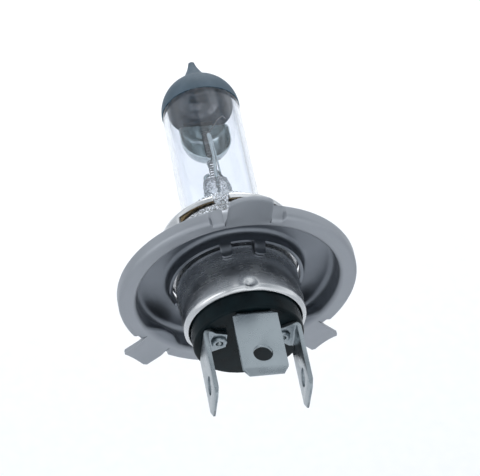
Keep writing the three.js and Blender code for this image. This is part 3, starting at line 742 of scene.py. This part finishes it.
plug_line = [(0, plug_rear), (plug_r - PLUG_EDGE, plug_rear)]
plug_line += arc(plug_r - PLUG_EDGE, plug_rear + PLUG_EDGE, PLUG_EDGE, 270, 360, 6)
plug_line += [(plug_r, flange_rear), (flange_r, flange_rear + 0.3), (flange_r, flange_front)]
plug_line += [(plug_r - 1.2, flange_front), (plug_r - 1.2, plug_rear + PLUG_DEEP)]
plug_line += [(0, plug_rear + PLUG_DEEP)]
plug = turned("insulator_plug", plug_line, 160, finish=phenolic, slot="insulator_phenolic")
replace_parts(plug, "insulator")

# %% [markdown]
# ## Tin-plated brass and the contact blades
#
# A blade is stamped flat, with its hole and its riveted foot in one strip, and then bent once. The
# same order is used here: a flat outline with a hole is drawn as a filled curve, which gives it
# thickness and a small stamped radius, and its vertices are then rolled round the bend. The tip is
# thinned so that it leads into the connector.

# %% Tin plate
tin, tree, shader = material("tin-plated brass", "#aab2b3", Metallic=1.0, Roughness=0.32)
place = add(tree, "TexCoord").outputs["Object"]
grain = add(tree, "TexNoise", {"Scale": per_metre(0.16), "Detail": 3.0}, Vector=place)
cloud = add(tree, "TexNoise", {"Scale": per_metre(2.4), "Detail": 3.0}, Vector=place)
mottle = add(tree, "Math", {"operation": "ADD"}, i0=cloud.outputs["Fac"],
             i1=levels(tree, grain.outputs["Fac"], 0.3, 0.7, -0.1, 0.1))
tone = ramp(tree, mottle.outputs[0], [(0.25, "#8f989d"), (0.75, "#9aa3a8")])
tree.links.new(tone.outputs["Color"], shader.inputs["Base Color"])
tree.links.new(levels(tree, mottle.outputs[0], 0.2, 0.8, 0.24, 0.34), shader.inputs["Roughness"])
bump = add(tree, "Bump", {"Strength": 0.1, "Distance": 0.002 * MM}, Height=grain.outputs["Fac"])
tree.links.new(bump.outputs[0], shader.inputs["Normal"])

# %% Blades
BLADE_SHEET = 0.8
BLADE_HALF = 4.0
ROOT_HALF = 3.1
FOOT_END_HALF = 1.8
RIVET_HOLE_R = 1.0
STAMP_EDGE = 0.07
BEND_R = 0.75
TIP_TAPER = 1.3
CORNER = 0.95
CORNER_LONG = 1.5
HOLE_R = 1.7
HOLE_FROM_TIP = 4.4
tip_y = corners("blade_low_beam")[0][1]
foot_front = plug_rear - 0.05
FOOT_REACH = 4.4
side_z = (corners("blade_common")[0][2] + corners("blade_common")[1][2]) / 2


def flat_blank(name, outline, holes):
    """A flat stamped sheet from an outline and round holes (x, y, radius), in millimetres."""
    data = bpy.data.curves.new(name, "CURVE")
    data.dimensions = "2D"
    data.fill_mode = "BOTH"
    data.extrude = (BLADE_SHEET / 2 - STAMP_EDGE) * MM
    data.bevel_depth = STAMP_EDGE * MM
    data.bevel_resolution = 2
    data.offset = -STAMP_EDGE * MM
    rings = [outline]
    for x, y, radius in holes:
        turn = np.linspace(0, 2 * math.pi, 40, endpoint=False)
        rings.append([(x + radius * math.cos(a), y + radius * math.sin(a)) for a in turn])
    for points in rings:
        spline = data.splines.new("POLY")
        spline.points.add(len(points) - 1)
        for point, (x, y) in zip(spline.points, points):
            point.co = (x * MM, y * MM, 0, 1)
        spline.use_cyclic_u = True
    return mesh_from_curve(name, data)


def contact_blade(name, node, distance, turn, eyelet, lift=0.0):
    """Stamps, thins and bends one blade; eyelet is (sideways, out from the axis) of its rivet."""
    bend_start = foot_front - BLADE_SHEET / 2 - BEND_R - tip_y
    arc_length = BEND_R * math.pi / 2
    foot_length = FOOT_REACH - BLADE_SHEET / 2 - BEND_R
    foot_start = bend_start + arc_length
    end = foot_start + foot_length
    half = BLADE_HALF
    root = (eyelet[0] - ROOT_HALF, eyelet[0] + ROOT_HALF)
    outline = [(-half, CORNER_LONG), (-half + CORNER, 0), (half - CORNER, 0), (half, CORNER_LONG)]
    outline += [(half, bend_start), (root[1], bend_start + 0.25), (root[1], foot_start + 0.4)]
    outline += [(eyelet[0] + 2.4, foot_start + 1.2), (eyelet[0] + FOOT_END_HALF, end)]
    outline += [(eyelet[0] - FOOT_END_HALF, end), (root[0], foot_start + 0.4)]
    outline += [(root[0], bend_start + 0.25), (-half, bend_start)]
    rivet_at = foot_start + (distance - BEND_R) - eyelet[1]
    holes = [(0, HOLE_FROM_TIP, HOLE_R), (eyelet[0], rivet_at, RIVET_HOLE_R)]
    mesh = flat_blank(name, outline, holes)
    work = bmesh.new()
    work.from_mesh(mesh)
    cuts = [TIP_TAPER, TIP_TAPER * 0.5] + [bend_start + arc_length * k / 6 for k in range(7)]
    for cut in cuts:
        geometry = work.verts[:] + work.edges[:] + work.faces[:]
        bmesh.ops.bisect_plane(work, geom=geometry, plane_co=(0, cut * MM, 0), plane_no=(0, 1, 0))
    bmesh.ops.remove_doubles(work, verts=work.verts, dist=1e-7)
    c, s = math.cos(math.radians(turn)), math.sin(math.radians(turn))
    for vertex in work.verts:
        side, along, high = (v / MM for v in vertex.co)
        if along < TIP_TAPER:
            high *= 0.5 + 0.5 * along / TIP_TAPER
        if along <= bend_start:
            out, y = distance + high, tip_y + along
        elif along <= foot_start:
            angle = (along - bend_start) / BEND_R
            out = distance - BEND_R + (BEND_R + high) * math.cos(angle)
            y = tip_y + bend_start + (BEND_R + high) * math.sin(angle)
        else:
            out = distance - BEND_R - (along - foot_start)
            y = tip_y + bend_start + BEND_R + high
        vertex.co = Vector((side * c + out * s, y, -side * s + out * c + lift)) * MM
    bmesh.ops.recalc_face_normals(work, faces=work.faces)
    work.to_mesh(mesh)
    work.free()
    mesh.shade_smooth()
    mesh.set_sharp_from_angle(angle=math.radians(50))
    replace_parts(add_piece(name, mesh, tin), node)


def eyelet_place(circuit):
    """Sideways and upward place of an eyelet's middle."""
    low, high = corners("eyelet_" + circuit)
    return (low[0] + high[0]) / 2, (low[2] + high[2]) / 2


side_x = corners("blade_common")[1][0] - BLADE_SHEET / 2
top_z = corners("blade_low_beam")[1][2] - BLADE_SHEET / 2
eyelet_x, eyelet_z = eyelet_place("common")
top_eyelet_z = eyelet_place("low_beam")[1]
contact_blade("blade_low_beam_tab", "blade_low_beam", top_z, 0, (0, top_eyelet_z))
contact_blade("blade_common_tab", "blade_common", side_x, 90, (side_z - eyelet_z, eyelet_x), side_z)
contact_blade("blade_high_beam_tab", "blade_high_beam", side_x, -90, (eyelet_z - side_z, eyelet_x), side_z)
print("blade tips at mm:", round(tip_y, 1))

# %% [markdown]
# ## Eyelets and lead ends
#
# Each foot is held by a rolled brass eyelet, and the lead wire comes up through its bore and is
# soldered over, which leaves a small bright bead in a dark ring. The eyelet is a turned outline; the
# bead is a turned dome, and a bump makes it a little uneven because it was once liquid.

# %% Eyelets
solder, tree, shader = material("tin solder", "#b4bbbc", Metallic=1.0, Roughness=0.25)
place = add(tree, "TexCoord").outputs["Object"]
cloud = add(tree, "TexNoise", {"Scale": per_metre(0.7), "Detail": 2.0}, Vector=place)
tone = ramp(tree, cloud.outputs["Fac"], [(0.3, "#7d8587"), (0.7, "#b9c0c1")])
tree.links.new(tone.outputs["Color"], shader.inputs["Base Color"])
tree.links.new(levels(tree, cloud.outputs["Fac"], 0.3, 0.7, 0.18, 0.36), shader.inputs["Roughness"])
bump = add(tree, "Bump", {"Strength": 0.4, "Distance": 0.05 * MM}, Height=cloud.outputs["Fac"])
tree.links.new(bump.outputs[0], shader.inputs["Normal"])
BORE_R = 0.56
TUBE_OUT_R = 0.88
BEAD_R = 0.52
CIRCUITS = ("high_beam", "low_beam", "common")
for circuit in CIRCUITS:
    x, z = eyelet_place(circuit)
    low, high = corners("eyelet_" + circuit)
    rear = foot_front - BLADE_SHEET - 0.02
    flange = [(0.9, rear), (1.28, rear)] + arc(1.05, rear - 0.22, 0.35, 40, -90, 6)
    flange += arc(0.86, rear - 0.3, 0.27, 270, 180, 5)
    flange += [(BORE_R, rear + 1), (BORE_R, high[1]), (TUBE_OUT_R, high[1])]
    eyelet = turned("eyelet_" + circuit + "_rolled", flange, 48, (x, z),
                    finish=tin, slot="contact_tinned_brass")
    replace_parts(eyelet, "eyelet_" + circuit)
    round_top = arc(0, rear - 0.12, BEAD_R, 250, 340, 6)
    bead = [(0, round_top[0][1])] + round_top + [(0.5, rear + 0.4), (0, rear + 0.4)]
    turned("solder_bead_" + circuit, bead, 32, (x, z), finish=solder, slot="contact_tinned_brass")

# %% [markdown]
# ## Quartz glass
#
# The envelope is fused quartz, because a halogen lamp is too hot for ordinary glass. It has an index
# of 1.458, less than window glass, and here a faint blue tint. It is modelled as a real wall
# with an inner and an outer surface, so the bending of light at both edges comes from geometry.

# %% Quartz
quartz, tree, shader = material("fused quartz", "#f9fafe", Roughness=0.0, IOR=1.458, Transmission_Weight=1.0)
place = add(tree, "TexCoord").outputs["Object"]
wave = add(tree, "TexNoise", {"Scale": per_metre(6), "Detail": 1.0}, Vector=place)
tone = ramp(tree, wave.outputs["Fac"], [(0.3, "#f4f7fd"), (0.7, "#f7fafe")])
tree.links.new(tone.outputs["Color"], shader.inputs["Base Color"])
bump = add(tree, "Bump", {"Strength": 0.06, "Distance": 0.05 * MM}, Height=wave.outputs["Fac"])
tree.links.new(bump.outputs[0], shader.inputs["Normal"])

# %% [markdown]
# ## The glass envelope
#
# The tube is drawn, closed to a dome with the pip where it was pumped and sealed, and pinched flat
# at the other end while soft. Every ring of vertices is a superellipse, so the round tube can turn
# smoothly into the flat pinch without a seam.

# %% Glass envelope
tube_r = glass_high[0]
dome_y = corners("black_top_coating")[0][1]
pip_tip = glass_high[1]
WALL = 1.0
PINCH_HALF = 6.5
PINCH_SIDE = 1.8
pinch_rear = glass_low[1]
tube_rear = 15.2
pinch_front = 12.2
TIP_R = 0.45
PIP_LEAN = 0.1


def flat_ring(y, half, side, power, count=96):
    """A closed ring of points at one height: round at power 2, boxy above it."""
    points = []
    for k in range(count):
        angle = 2 * math.pi * k / count
        c, s = math.cos(angle), math.sin(angle)
        reach = (abs(c) ** power + abs(s) ** power) ** (-1 / power)
        points.append((half * reach * c, y, side * reach * s))
    return points


def stacked(rings):
    """Faces between rings of equal length, closed at both ends."""
    count = len(rings[0])
    vertices = [v for ring in rings for v in ring]
    faces = [tuple(range(count)), tuple(range(len(vertices) - count, len(vertices)))[::-1]]
    for level in range(len(rings) - 1):
        for k in range(count):
            a, b = level * count + k, level * count + (k + 1) % count
            faces.append((a, a + count, b + count, b))
    return vertices, faces


def dome_and_pip(radius, extra=0.0):
    """Outline of the closed end: a round dome that flares into the sealed pip."""
    tip = pip_tip + extra
    line = arc(0, dome_y, radius, 0, 66, 16)
    foot_r, foot_y = line[-1]
    tip_r = TIP_R + extra
    for t in np.linspace(0.08, 0.92, 16):
        y = foot_y + (tip - foot_y) * t
        line.append((tip_r + (foot_r - tip_r) * (1 - t) ** 1.5, y))
    last_r, last_y = line[-1]
    for a in np.radians((25, 50, 72, 88)):
        line.append((last_r * math.cos(a), last_y + (tip - last_y) * math.sin(a)))
    return line


def lean(y):
    """The pip is pulled off a little to one side when it is sealed."""
    return PIP_LEAN * smooth(y, dome_y + 5.2, dome_y + 8.5)


def leaned(ring):
    """A ring of points moved over by the lean at its height."""
    return [(x + lean(y), y, z) for x, y, z in ring]


glass_rings = [flat_ring(pinch_rear, PINCH_HALF - 0.4, PINCH_SIDE - 0.4, 6),
               flat_ring(pinch_rear + 0.4, PINCH_HALF, PINCH_SIDE, 6)]
pinch_ys = np.linspace(pinch_rear + 1.5, pinch_front - 1.4, 6)
glass_rings += [flat_ring(y, PINCH_HALF, PINCH_SIDE, 6) for y in pinch_ys]
for t in np.linspace(0, 1, 12):
    ease = smooth(t, 0, 1)
    glass_rings.append(flat_ring(pinch_front - 1 + (tube_rear - pinch_front + 1) * t,
                                 PINCH_HALF + (tube_r - PINCH_HALF) * ease,
                                 PINCH_SIDE + (tube_r - PINCH_SIDE) * math.sin(math.pi / 2 * t) ** 1.4,
                                 6 - 4 * ease))
glass_rings += [flat_ring(y, tube_r, tube_r, 2) for y in np.linspace(tube_rear + 1, dome_y - 0.5, 14)]
glass_rings += [leaned(flat_ring(y, r, r, 2)) for r, y in dome_and_pip(tube_r)]
hollow_r = tube_r - WALL
hollow = [flat_ring(13.9 + 2.6 * t, 1.0 + (hollow_r - 1.0) * math.sin(math.pi / 2 * t) ** 0.8,
                    0.3 + (hollow_r - 0.3) * math.sin(math.pi / 2 * t) ** 1.1, 2.6 - 0.6 * t)
          for t in np.linspace(0, 1, 12)]
hollow += [flat_ring(y, hollow_r, hollow_r, 2) for y in np.linspace(17.5, dome_y - 0.5, 12)]
hollow += [flat_ring(y, r, r, 2) for r, y in arc(0, dome_y, hollow_r, 0, 86, 18)]


def closed_glass(name, finish, outside, inside=None):
    """A glass body: its outer skin faces out, and the skin of its hollow faces into the hollow."""
    mesh = bpy.data.meshes.new(name)
    vertices = outside[0] + (inside[0] if inside else [])
    start = len(outside[0])
    faces = list(outside[1])
    if inside:
        faces += [tuple(start + k for k in face)[::-1] for face in inside[1]]
    mesh.from_pydata([tuple(Vector(v) * MM) for v in vertices], [], faces)
    mesh.shade_smooth()
    mesh.set_sharp_from_angle(angle=math.radians(50))
    return add_piece(name, mesh, finish)


envelope = closed_glass("glass_envelope_blown", quartz, stacked(glass_rings), stacked(hollow))
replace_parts(envelope, "glass_envelope")
print("envelope faces:", len(envelope.data.polygons))

# %% [markdown]
# ## Black heat-proof paint
#
# The dome is dipped in black paint so that no direct light leaves the front of the bulb. Baked, it is
# matt and more slate than black, with a soft skin texture of about half a millimetre. Through the
# tube one looks at the paint's other face, which lies against the quartz and has no baked skin, so
# the inner faces of the coat get a flatter finish of their own. Their lighter, bluer colour is
# painted light for the inside of the dome.

# %% Black top
paint, tree, shader = material("baked heat-proof paint", "#46525d", Roughness=0.62)
shader.inputs["Specular IOR Level"].default_value = 0.35
place = add(tree, "TexCoord").outputs["Object"]
skin = add(tree, "TexNoise", {"Scale": per_metre(0.5), "Detail": 3.0}, Vector=place)
cloud = add(tree, "TexNoise", {"Scale": per_metre(3.2), "Detail": 2.0}, Vector=place)
tone = ramp(tree, cloud.outputs["Fac"], [(0.3, "#455662"), (0.7, "#51626f")])
tree.links.new(tone.outputs["Color"], shader.inputs["Base Color"])
tree.links.new(levels(tree, skin.outputs["Fac"], 0.3, 0.7, 0.55, 0.7), shader.inputs["Roughness"])
bump = add(tree, "Bump", {"Strength": 0.2, "Distance": 0.03 * MM}, Height=skin.outputs["Fac"])
tree.links.new(bump.outputs[0], shader.inputs["Normal"])
# The inner coat is lighter and bluer than the outer paint. This colour is painted light for the inside of the
# dome seen through the tube.
wetted_paint_painted_light, tree, shader = material("paint seen through quartz with painted light", "#5f7788", Roughness=0.9)
shader.inputs["Specular IOR Level"].default_value = 0.1
place = add(tree, "TexCoord").outputs["Object"]
cloud = add(tree, "TexNoise", {"Scale": per_metre(2.5), "Detail": 3.0}, Vector=place)
tone = ramp(tree, cloud.outputs["Fac"], [(0.3, "#566f80"), (0.7, "#6a8494")])
tree.links.new(tone.outputs["Color"], shader.inputs["Base Color"])
COAT = 0.12
COAT_GAP = 0.02
coat_out = [leaned(flat_ring(y, r, r, 2)) for r, y in dome_and_pip(tube_r + COAT, COAT)]
coat_in = [leaned(flat_ring(y, r, r, 2)) for r, y in dome_and_pip(tube_r + COAT_GAP, COAT_GAP)]
count = len(coat_out[0])
rows = len(coat_out)
shift = rows * count
top = (rows - 1) * count
coat_vertices = [v for ring in coat_out + coat_in for v in ring]
coat_faces = []
for level in range(rows - 1):
    for k in range(count):
        a, b = level * count + k, level * count + (k + 1) % count
        coat_faces.append((a, b, b + count, a + count))
        coat_faces.append((a + shift, a + count + shift, b + count + shift, b + shift))
coat_faces += [(k, k + shift, (k + 1) % count + shift, (k + 1) % count) for k in range(count)]
coat_faces += [tuple(range(top, top + count)), tuple(range(top + shift, top + shift + count))[::-1]]
coat = finish_mesh("black_top_paint", coat_vertices, coat_faces, paint, "top_black_paint", sharp=50)
coat.data.materials.append(wetted_paint_painted_light)
dome_middle = Vector((0, dome_y * MM, 0))
# Faces that look into the dome take the lighter inner coat, which carries painted light.
for face in coat.data.polygons:
    face.material_index = int(face.normal.dot(face.center - dome_middle) < 0)
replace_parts(coat, "black_top_coating")

# %% [markdown]
# ## Molybdenum and tungsten
#
# The shield and the supports are molybdenum, a grey metal that keeps its polish in the halogen gas;
# the coils are tungsten, darker and matt after burning in. Both are metals, so only colour and
# roughness set them apart.

# %% Lamp metals
moly, tree, shader = material("polished molybdenum", "#a7afac", Metallic=1.0, Roughness=0.16)
place = add(tree, "TexCoord").outputs["Object"]
cloud = add(tree, "TexNoise", {"Scale": per_metre(1.6), "Detail": 2.0}, Vector=place)
tone = ramp(tree, cloud.outputs["Fac"], [(0.3, "#a7b1b3"), (0.7, "#bdc6c8")])
tree.links.new(tone.outputs["Color"], shader.inputs["Base Color"])
tree.links.new(levels(tree, cloud.outputs["Fac"], 0.3, 0.7, 0.1, 0.22), shader.inputs["Roughness"])
tungsten, tree, shader = material("burned-in tungsten", "#a3a6a8", Metallic=1.0, Roughness=0.4)
place = add(tree, "TexCoord").outputs["Object"]
cloud = add(tree, "TexNoise", {"Scale": per_metre(0.5), "Detail": 2.0}, Vector=place)
tone = ramp(tree, cloud.outputs["Fac"], [(0.3, "#6f7071"), (0.7, "#949596")])
tree.links.new(tone.outputs["Color"], shader.inputs["Base Color"])

# %% [markdown]
# ## The shield
#
# The cup under the low-beam coil is drawn from thin sheet: half a capsule, open upwards, with a wall
# across its front and a narrow strip standing on that wall. It catches the light that would dazzle.
# Half a turned capsule is laid out as a grid with a wall thickness, so its polished inside mirrors
# the coil.

# %% Low-beam shield
shield_low, shield_high = corners("low_beam_shield")
shield_r = shield_high[0]
SHIELD_SHEET = 0.22
SHIELD_FRONT = 37.2
SHIELD_EDGE = 0.9
SHIELD_COLUMNS = 41
LIP_COLUMNS = 9
LIP_X = (-3.6, 1.7)


def capsule_line(inset):
    """Half outline of the shield from its rear pole to the middle of its front wall."""
    r = shield_r - inset
    rear = shield_low[1] + shield_r
    front = SHIELD_FRONT - inset
    points = arc(0, rear, r, -90, 0, 16) + [(r, y) for y in np.linspace(rear + 0.8, front - 1.2, 5)]
    points += arc(r - SHIELD_EDGE, front - SHIELD_EDGE, SHIELD_EDGE, 0, 90, 8)
    return points + [(r * 0.45, front), (0.0, front)]


shield_out, shield_in = capsule_line(0), capsule_line(SHIELD_SHEET)


def shield_point(outline, column, row):
    """A point of one face of the cup, on the half turn below the axis."""
    angle = math.pi * column / (SHIELD_COLUMNS - 1)
    r, y = outline[row]
    return (r * math.cos(angle), y, -r * math.sin(angle))


shield = pressed_sheet("low_beam_shield_cup", SHIELD_COLUMNS, len(shield_out),
                       lambda i, j: shield_point(shield_out, i, j),
                       lambda i, j: shield_point(shield_in, i, j),
                       lambda i, j: True, edge=0, closed=False, finish=moly, slot="shield_molybdenum")
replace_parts(shield, "low_beam_shield")
lip_rows = [(37.0, 0.0), (37.6, 0.0), (37.95, -0.12), (shield_high[1], -0.12)]


def lip_point(column, row, depth):
    """A point of the strip on the front wall, at some depth below its top face."""
    y, z = lip_rows[row]
    return (LIP_X[0] + (LIP_X[1] - LIP_X[0]) * column / (LIP_COLUMNS - 1), y, z - depth)


pressed_sheet("low_beam_shield_lip", LIP_COLUMNS, len(lip_rows), lambda i, j: lip_point(i, j, 0),
              lambda i, j: lip_point(i, j, SHIELD_SHEET), lambda i, j: True, edge=0, closed=False,
              finish=moly, slot="shield_molybdenum")

# %% [markdown]
# ## Wires and coils
#
# A wire is a round section swept along a smooth line. Blender's curve object does this with a bevel,
# and it is converted to a mesh so that its length and ends stay fixed. The coils are single helices
# of fine wire, wound openly enough for their turns to show, with bent legs to their supports.

# %% Wires
def swept(name, points, radius, finish, smooth_route=True):
    """A wire of round section along points in millimetres."""
    data = bpy.data.curves.new(name, "CURVE")
    data.dimensions = "3D"
    data.bevel_depth = radius * MM
    data.bevel_resolution = 3
    data.use_fill_caps = True
    kind = "NURBS" if smooth_route else "POLY"
    spline = data.splines.new(kind)
    spline.points.add(len(points) - 1)
    for point, place_mm in zip(spline.points, points):
        point.co = (*(v * MM for v in place_mm), 1)
    if smooth_route:
        spline.order_u = 3
        spline.use_endpoint_u = True
        spline.resolution_u = 8
    return add_piece(name, mesh_from_curve(name, data), finish)


SUPPORT_R = 0.33
STRIP_R = 0.17
FILAMENT_R = 0.095
COIL_R = 0.66
bridge_low, bridge_high = corners("glass_bridge")
foil_front = corners("pinch_foil_common")[1][1]
foil_x = (corners("pinch_foil_common")[0][0] + corners("pinch_foil_common")[1][0]) / 2
side_wire_x = 1.75
front_wire_z = 1.35
under_shield_z = -shield_r - 0.65
bridge_rear, bridge_front = bridge_low[1], bridge_high[1]
routes = {
    "high_beam": [(-foil_x, foil_front + 0.3, 0), (-foil_x, 14.2, 0), (-2.2, 17.2, 0),
                  (-side_wire_x, bridge_rear, 0), (-side_wire_x, bridge_front, 0), (-side_wire_x, 25.2, 0),
                  (-0.9, 25.4, 0)],
    "low_beam": [(0, foil_front + 0.3, 0), (0, 14.2, 0), (0, 17.5, 1.0), (0, bridge_rear, front_wire_z),
                 (0, bridge_front, front_wire_z), (0.3, 27.5, 1.7), (0.25, 30.5, 1.75), (0.1, 33.6, 1.75)],
    "common": [(foil_x, foil_front + 0.3, 0), (foil_x, 14.2, 0), (2.2, 17.2, 0),
               (side_wire_x, bridge_rear, 0), (side_wire_x, bridge_front, 0), (1.3, 25.9, -0.8),
               (0.8, 28.3, -2.0), (0.4, 30.4, -4.4), (0.3, 33.4, under_shield_z),
               (0.3, 35.9, under_shield_z)],
}
for circuit, route in routes.items():
    wire = swept("support_wire_" + circuit + "_rod", route, SUPPORT_R, moly)
    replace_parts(wire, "support_wire_" + circuit)
hairpin = [(0.85, 24.4, 1.7), (0.75, 27.5, 1.8), (0.6, 30.5, 1.85), (0.4, 33.4, 1.85)]
swept("low_beam_strip", hairpin, STRIP_R, moly)


def helix(start, end, turns, first_leg, last_leg):
    """A coil from one height to the other, with a leg at each end."""
    steps = turns * 16
    points = list(first_leg)
    for k in range(steps + 1):
        angle = 2 * math.pi * k / 16
        y = start + (end - start) * k / steps
        points.append((COIL_R * math.cos(angle), y, COIL_R * math.sin(angle)))
    return points + list(last_leg)


low_coil = helix(30.0, 35.4, 10, [(0.45, 29.3, 1.3), (0.6, 29.6, 0.5)],
                 [(1.4, 35.9, 0.7), (2.4, 37.3, 1.0), (3.6, 38.3, 0.9), (4.3, 38.2, 0.2)])
high_coil = helix(24.8, 28.7, 7, [(-0.9, 24.6, 0.0), (-0.2, 24.5, -0.4)],
                  [(1.0, 28.9, 0.2), (1.9, 29.2, -0.3)])
for beam, coil in (("low_beam", low_coil), ("high_beam", high_coil)):
    filament = swept(beam + "_coil", coil, FILAMENT_R, tungsten, False)
    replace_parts(filament, beam + "_filament")
print("wires and coils:", len(routes) + 3)

# %% [markdown]
# ## The quartz bridge
#
# The bead that ties the three supports together is quartz melted over the wires. It cools with folds,
# bubbles and cracks, so it glitters where the tube is calm. It is the same glass, with lumps made by
# moving its vertices and a crackle of about 0.75 mm from a cell texture in the bump. The end of the
# envelope round the pinch was squeezed while soft, so its faces get the crackled glass too.

# %% Glass bridge
crackled, tree, shader = material("crackled quartz", "#fafcfe", IOR=1.458, Transmission_Weight=1.0)
place = add(tree, "TexCoord").outputs["Object"]
cells = add(tree, "TexVoronoi", {"Scale": per_metre(0.75), "feature": "DISTANCE_TO_EDGE"}, Vector=place)
folds = add(tree, "TexNoise", {"Scale": per_metre(0.9), "Detail": 3.0}, Vector=place)
height = add(tree, "Math", {"operation": "ADD"}, i0=folds.outputs["Fac"],
             i1=levels(tree, cells.outputs["Distance"], 0.0, 0.12, 0.0, 0.7))
bump = add(tree, "Bump", {"Strength": 1.0, "Distance": 0.35 * MM}, Height=height.outputs[0])
tree.links.new(bump.outputs[0], shader.inputs["Normal"])
tree.links.new(levels(tree, folds.outputs["Fac"], 0.4, 0.7, 0.02, 0.12), shader.inputs["Roughness"])


def lumps(x, y, z, size):
    """A fixed, smooth pattern of bumps between -1 and 1."""
    a = math.sin(x / size * 2.1 + 1.3) * math.cos(y / size * 1.7 + 0.4)
    b = math.sin(y / size * 2.6 + z / size * 1.9 + 2.2)
    return 0.5 * (a + b * math.cos(z / size * 2.3 + x / size * 0.8))


CRACKLE_END = 15.8
BRIDGE_ROOM = 0.2
bridge_half = bridge_high[0] - BRIDGE_ROOM
bridge_side = bridge_high[2] - BRIDGE_ROOM
bridge_rings = []
for t in np.linspace(0, 1, 44):
    y = bridge_rear + 0.1 + (bridge_front - bridge_rear - 0.2) * t
    swell = 1 - 0.12 * smooth(t, 0.35, 1.0) - 0.5 * smooth(abs(t - 0.5), 0.42, 0.5)
    moved = []
    for x, _, z in flat_ring(y, bridge_half * swell, bridge_side * swell, 3.2, 120):
        grow = 1 + 0.05 * lumps(x, y, z, 1.1) + 0.035 * lumps(x, y, z, 0.42) - 0.01
        moved.append((x * grow, y, z * grow))
    bridge_rings.append(moved)
bridge = closed_glass("glass_bridge_bead", crackled, stacked(bridge_rings))
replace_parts(bridge, "glass_bridge")
envelope.data.materials.append(crackled)
for face in envelope.data.polygons:
    face.material_index = int(face.center.y < CRACKLE_END * MM)
print("bridge faces:", len(bridge.data.polygons))

# %% [markdown]
# ## Pieces kept as packed
#
# The foils and the lead wires are hidden in the pinch and behind the insulator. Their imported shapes
# are right, so they only get the metal they are made of.

# %% Finishes on kept pieces
for circuit in CIRCUITS:
    for node in ("pinch_foil_" + circuit, "lead_wire_" + circuit):
        kept_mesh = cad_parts[node].data
        kept_mesh.materials.clear()
        kept_mesh.materials.append(moly)
print("kept pieces:", 2 * len(CIRCUITS))
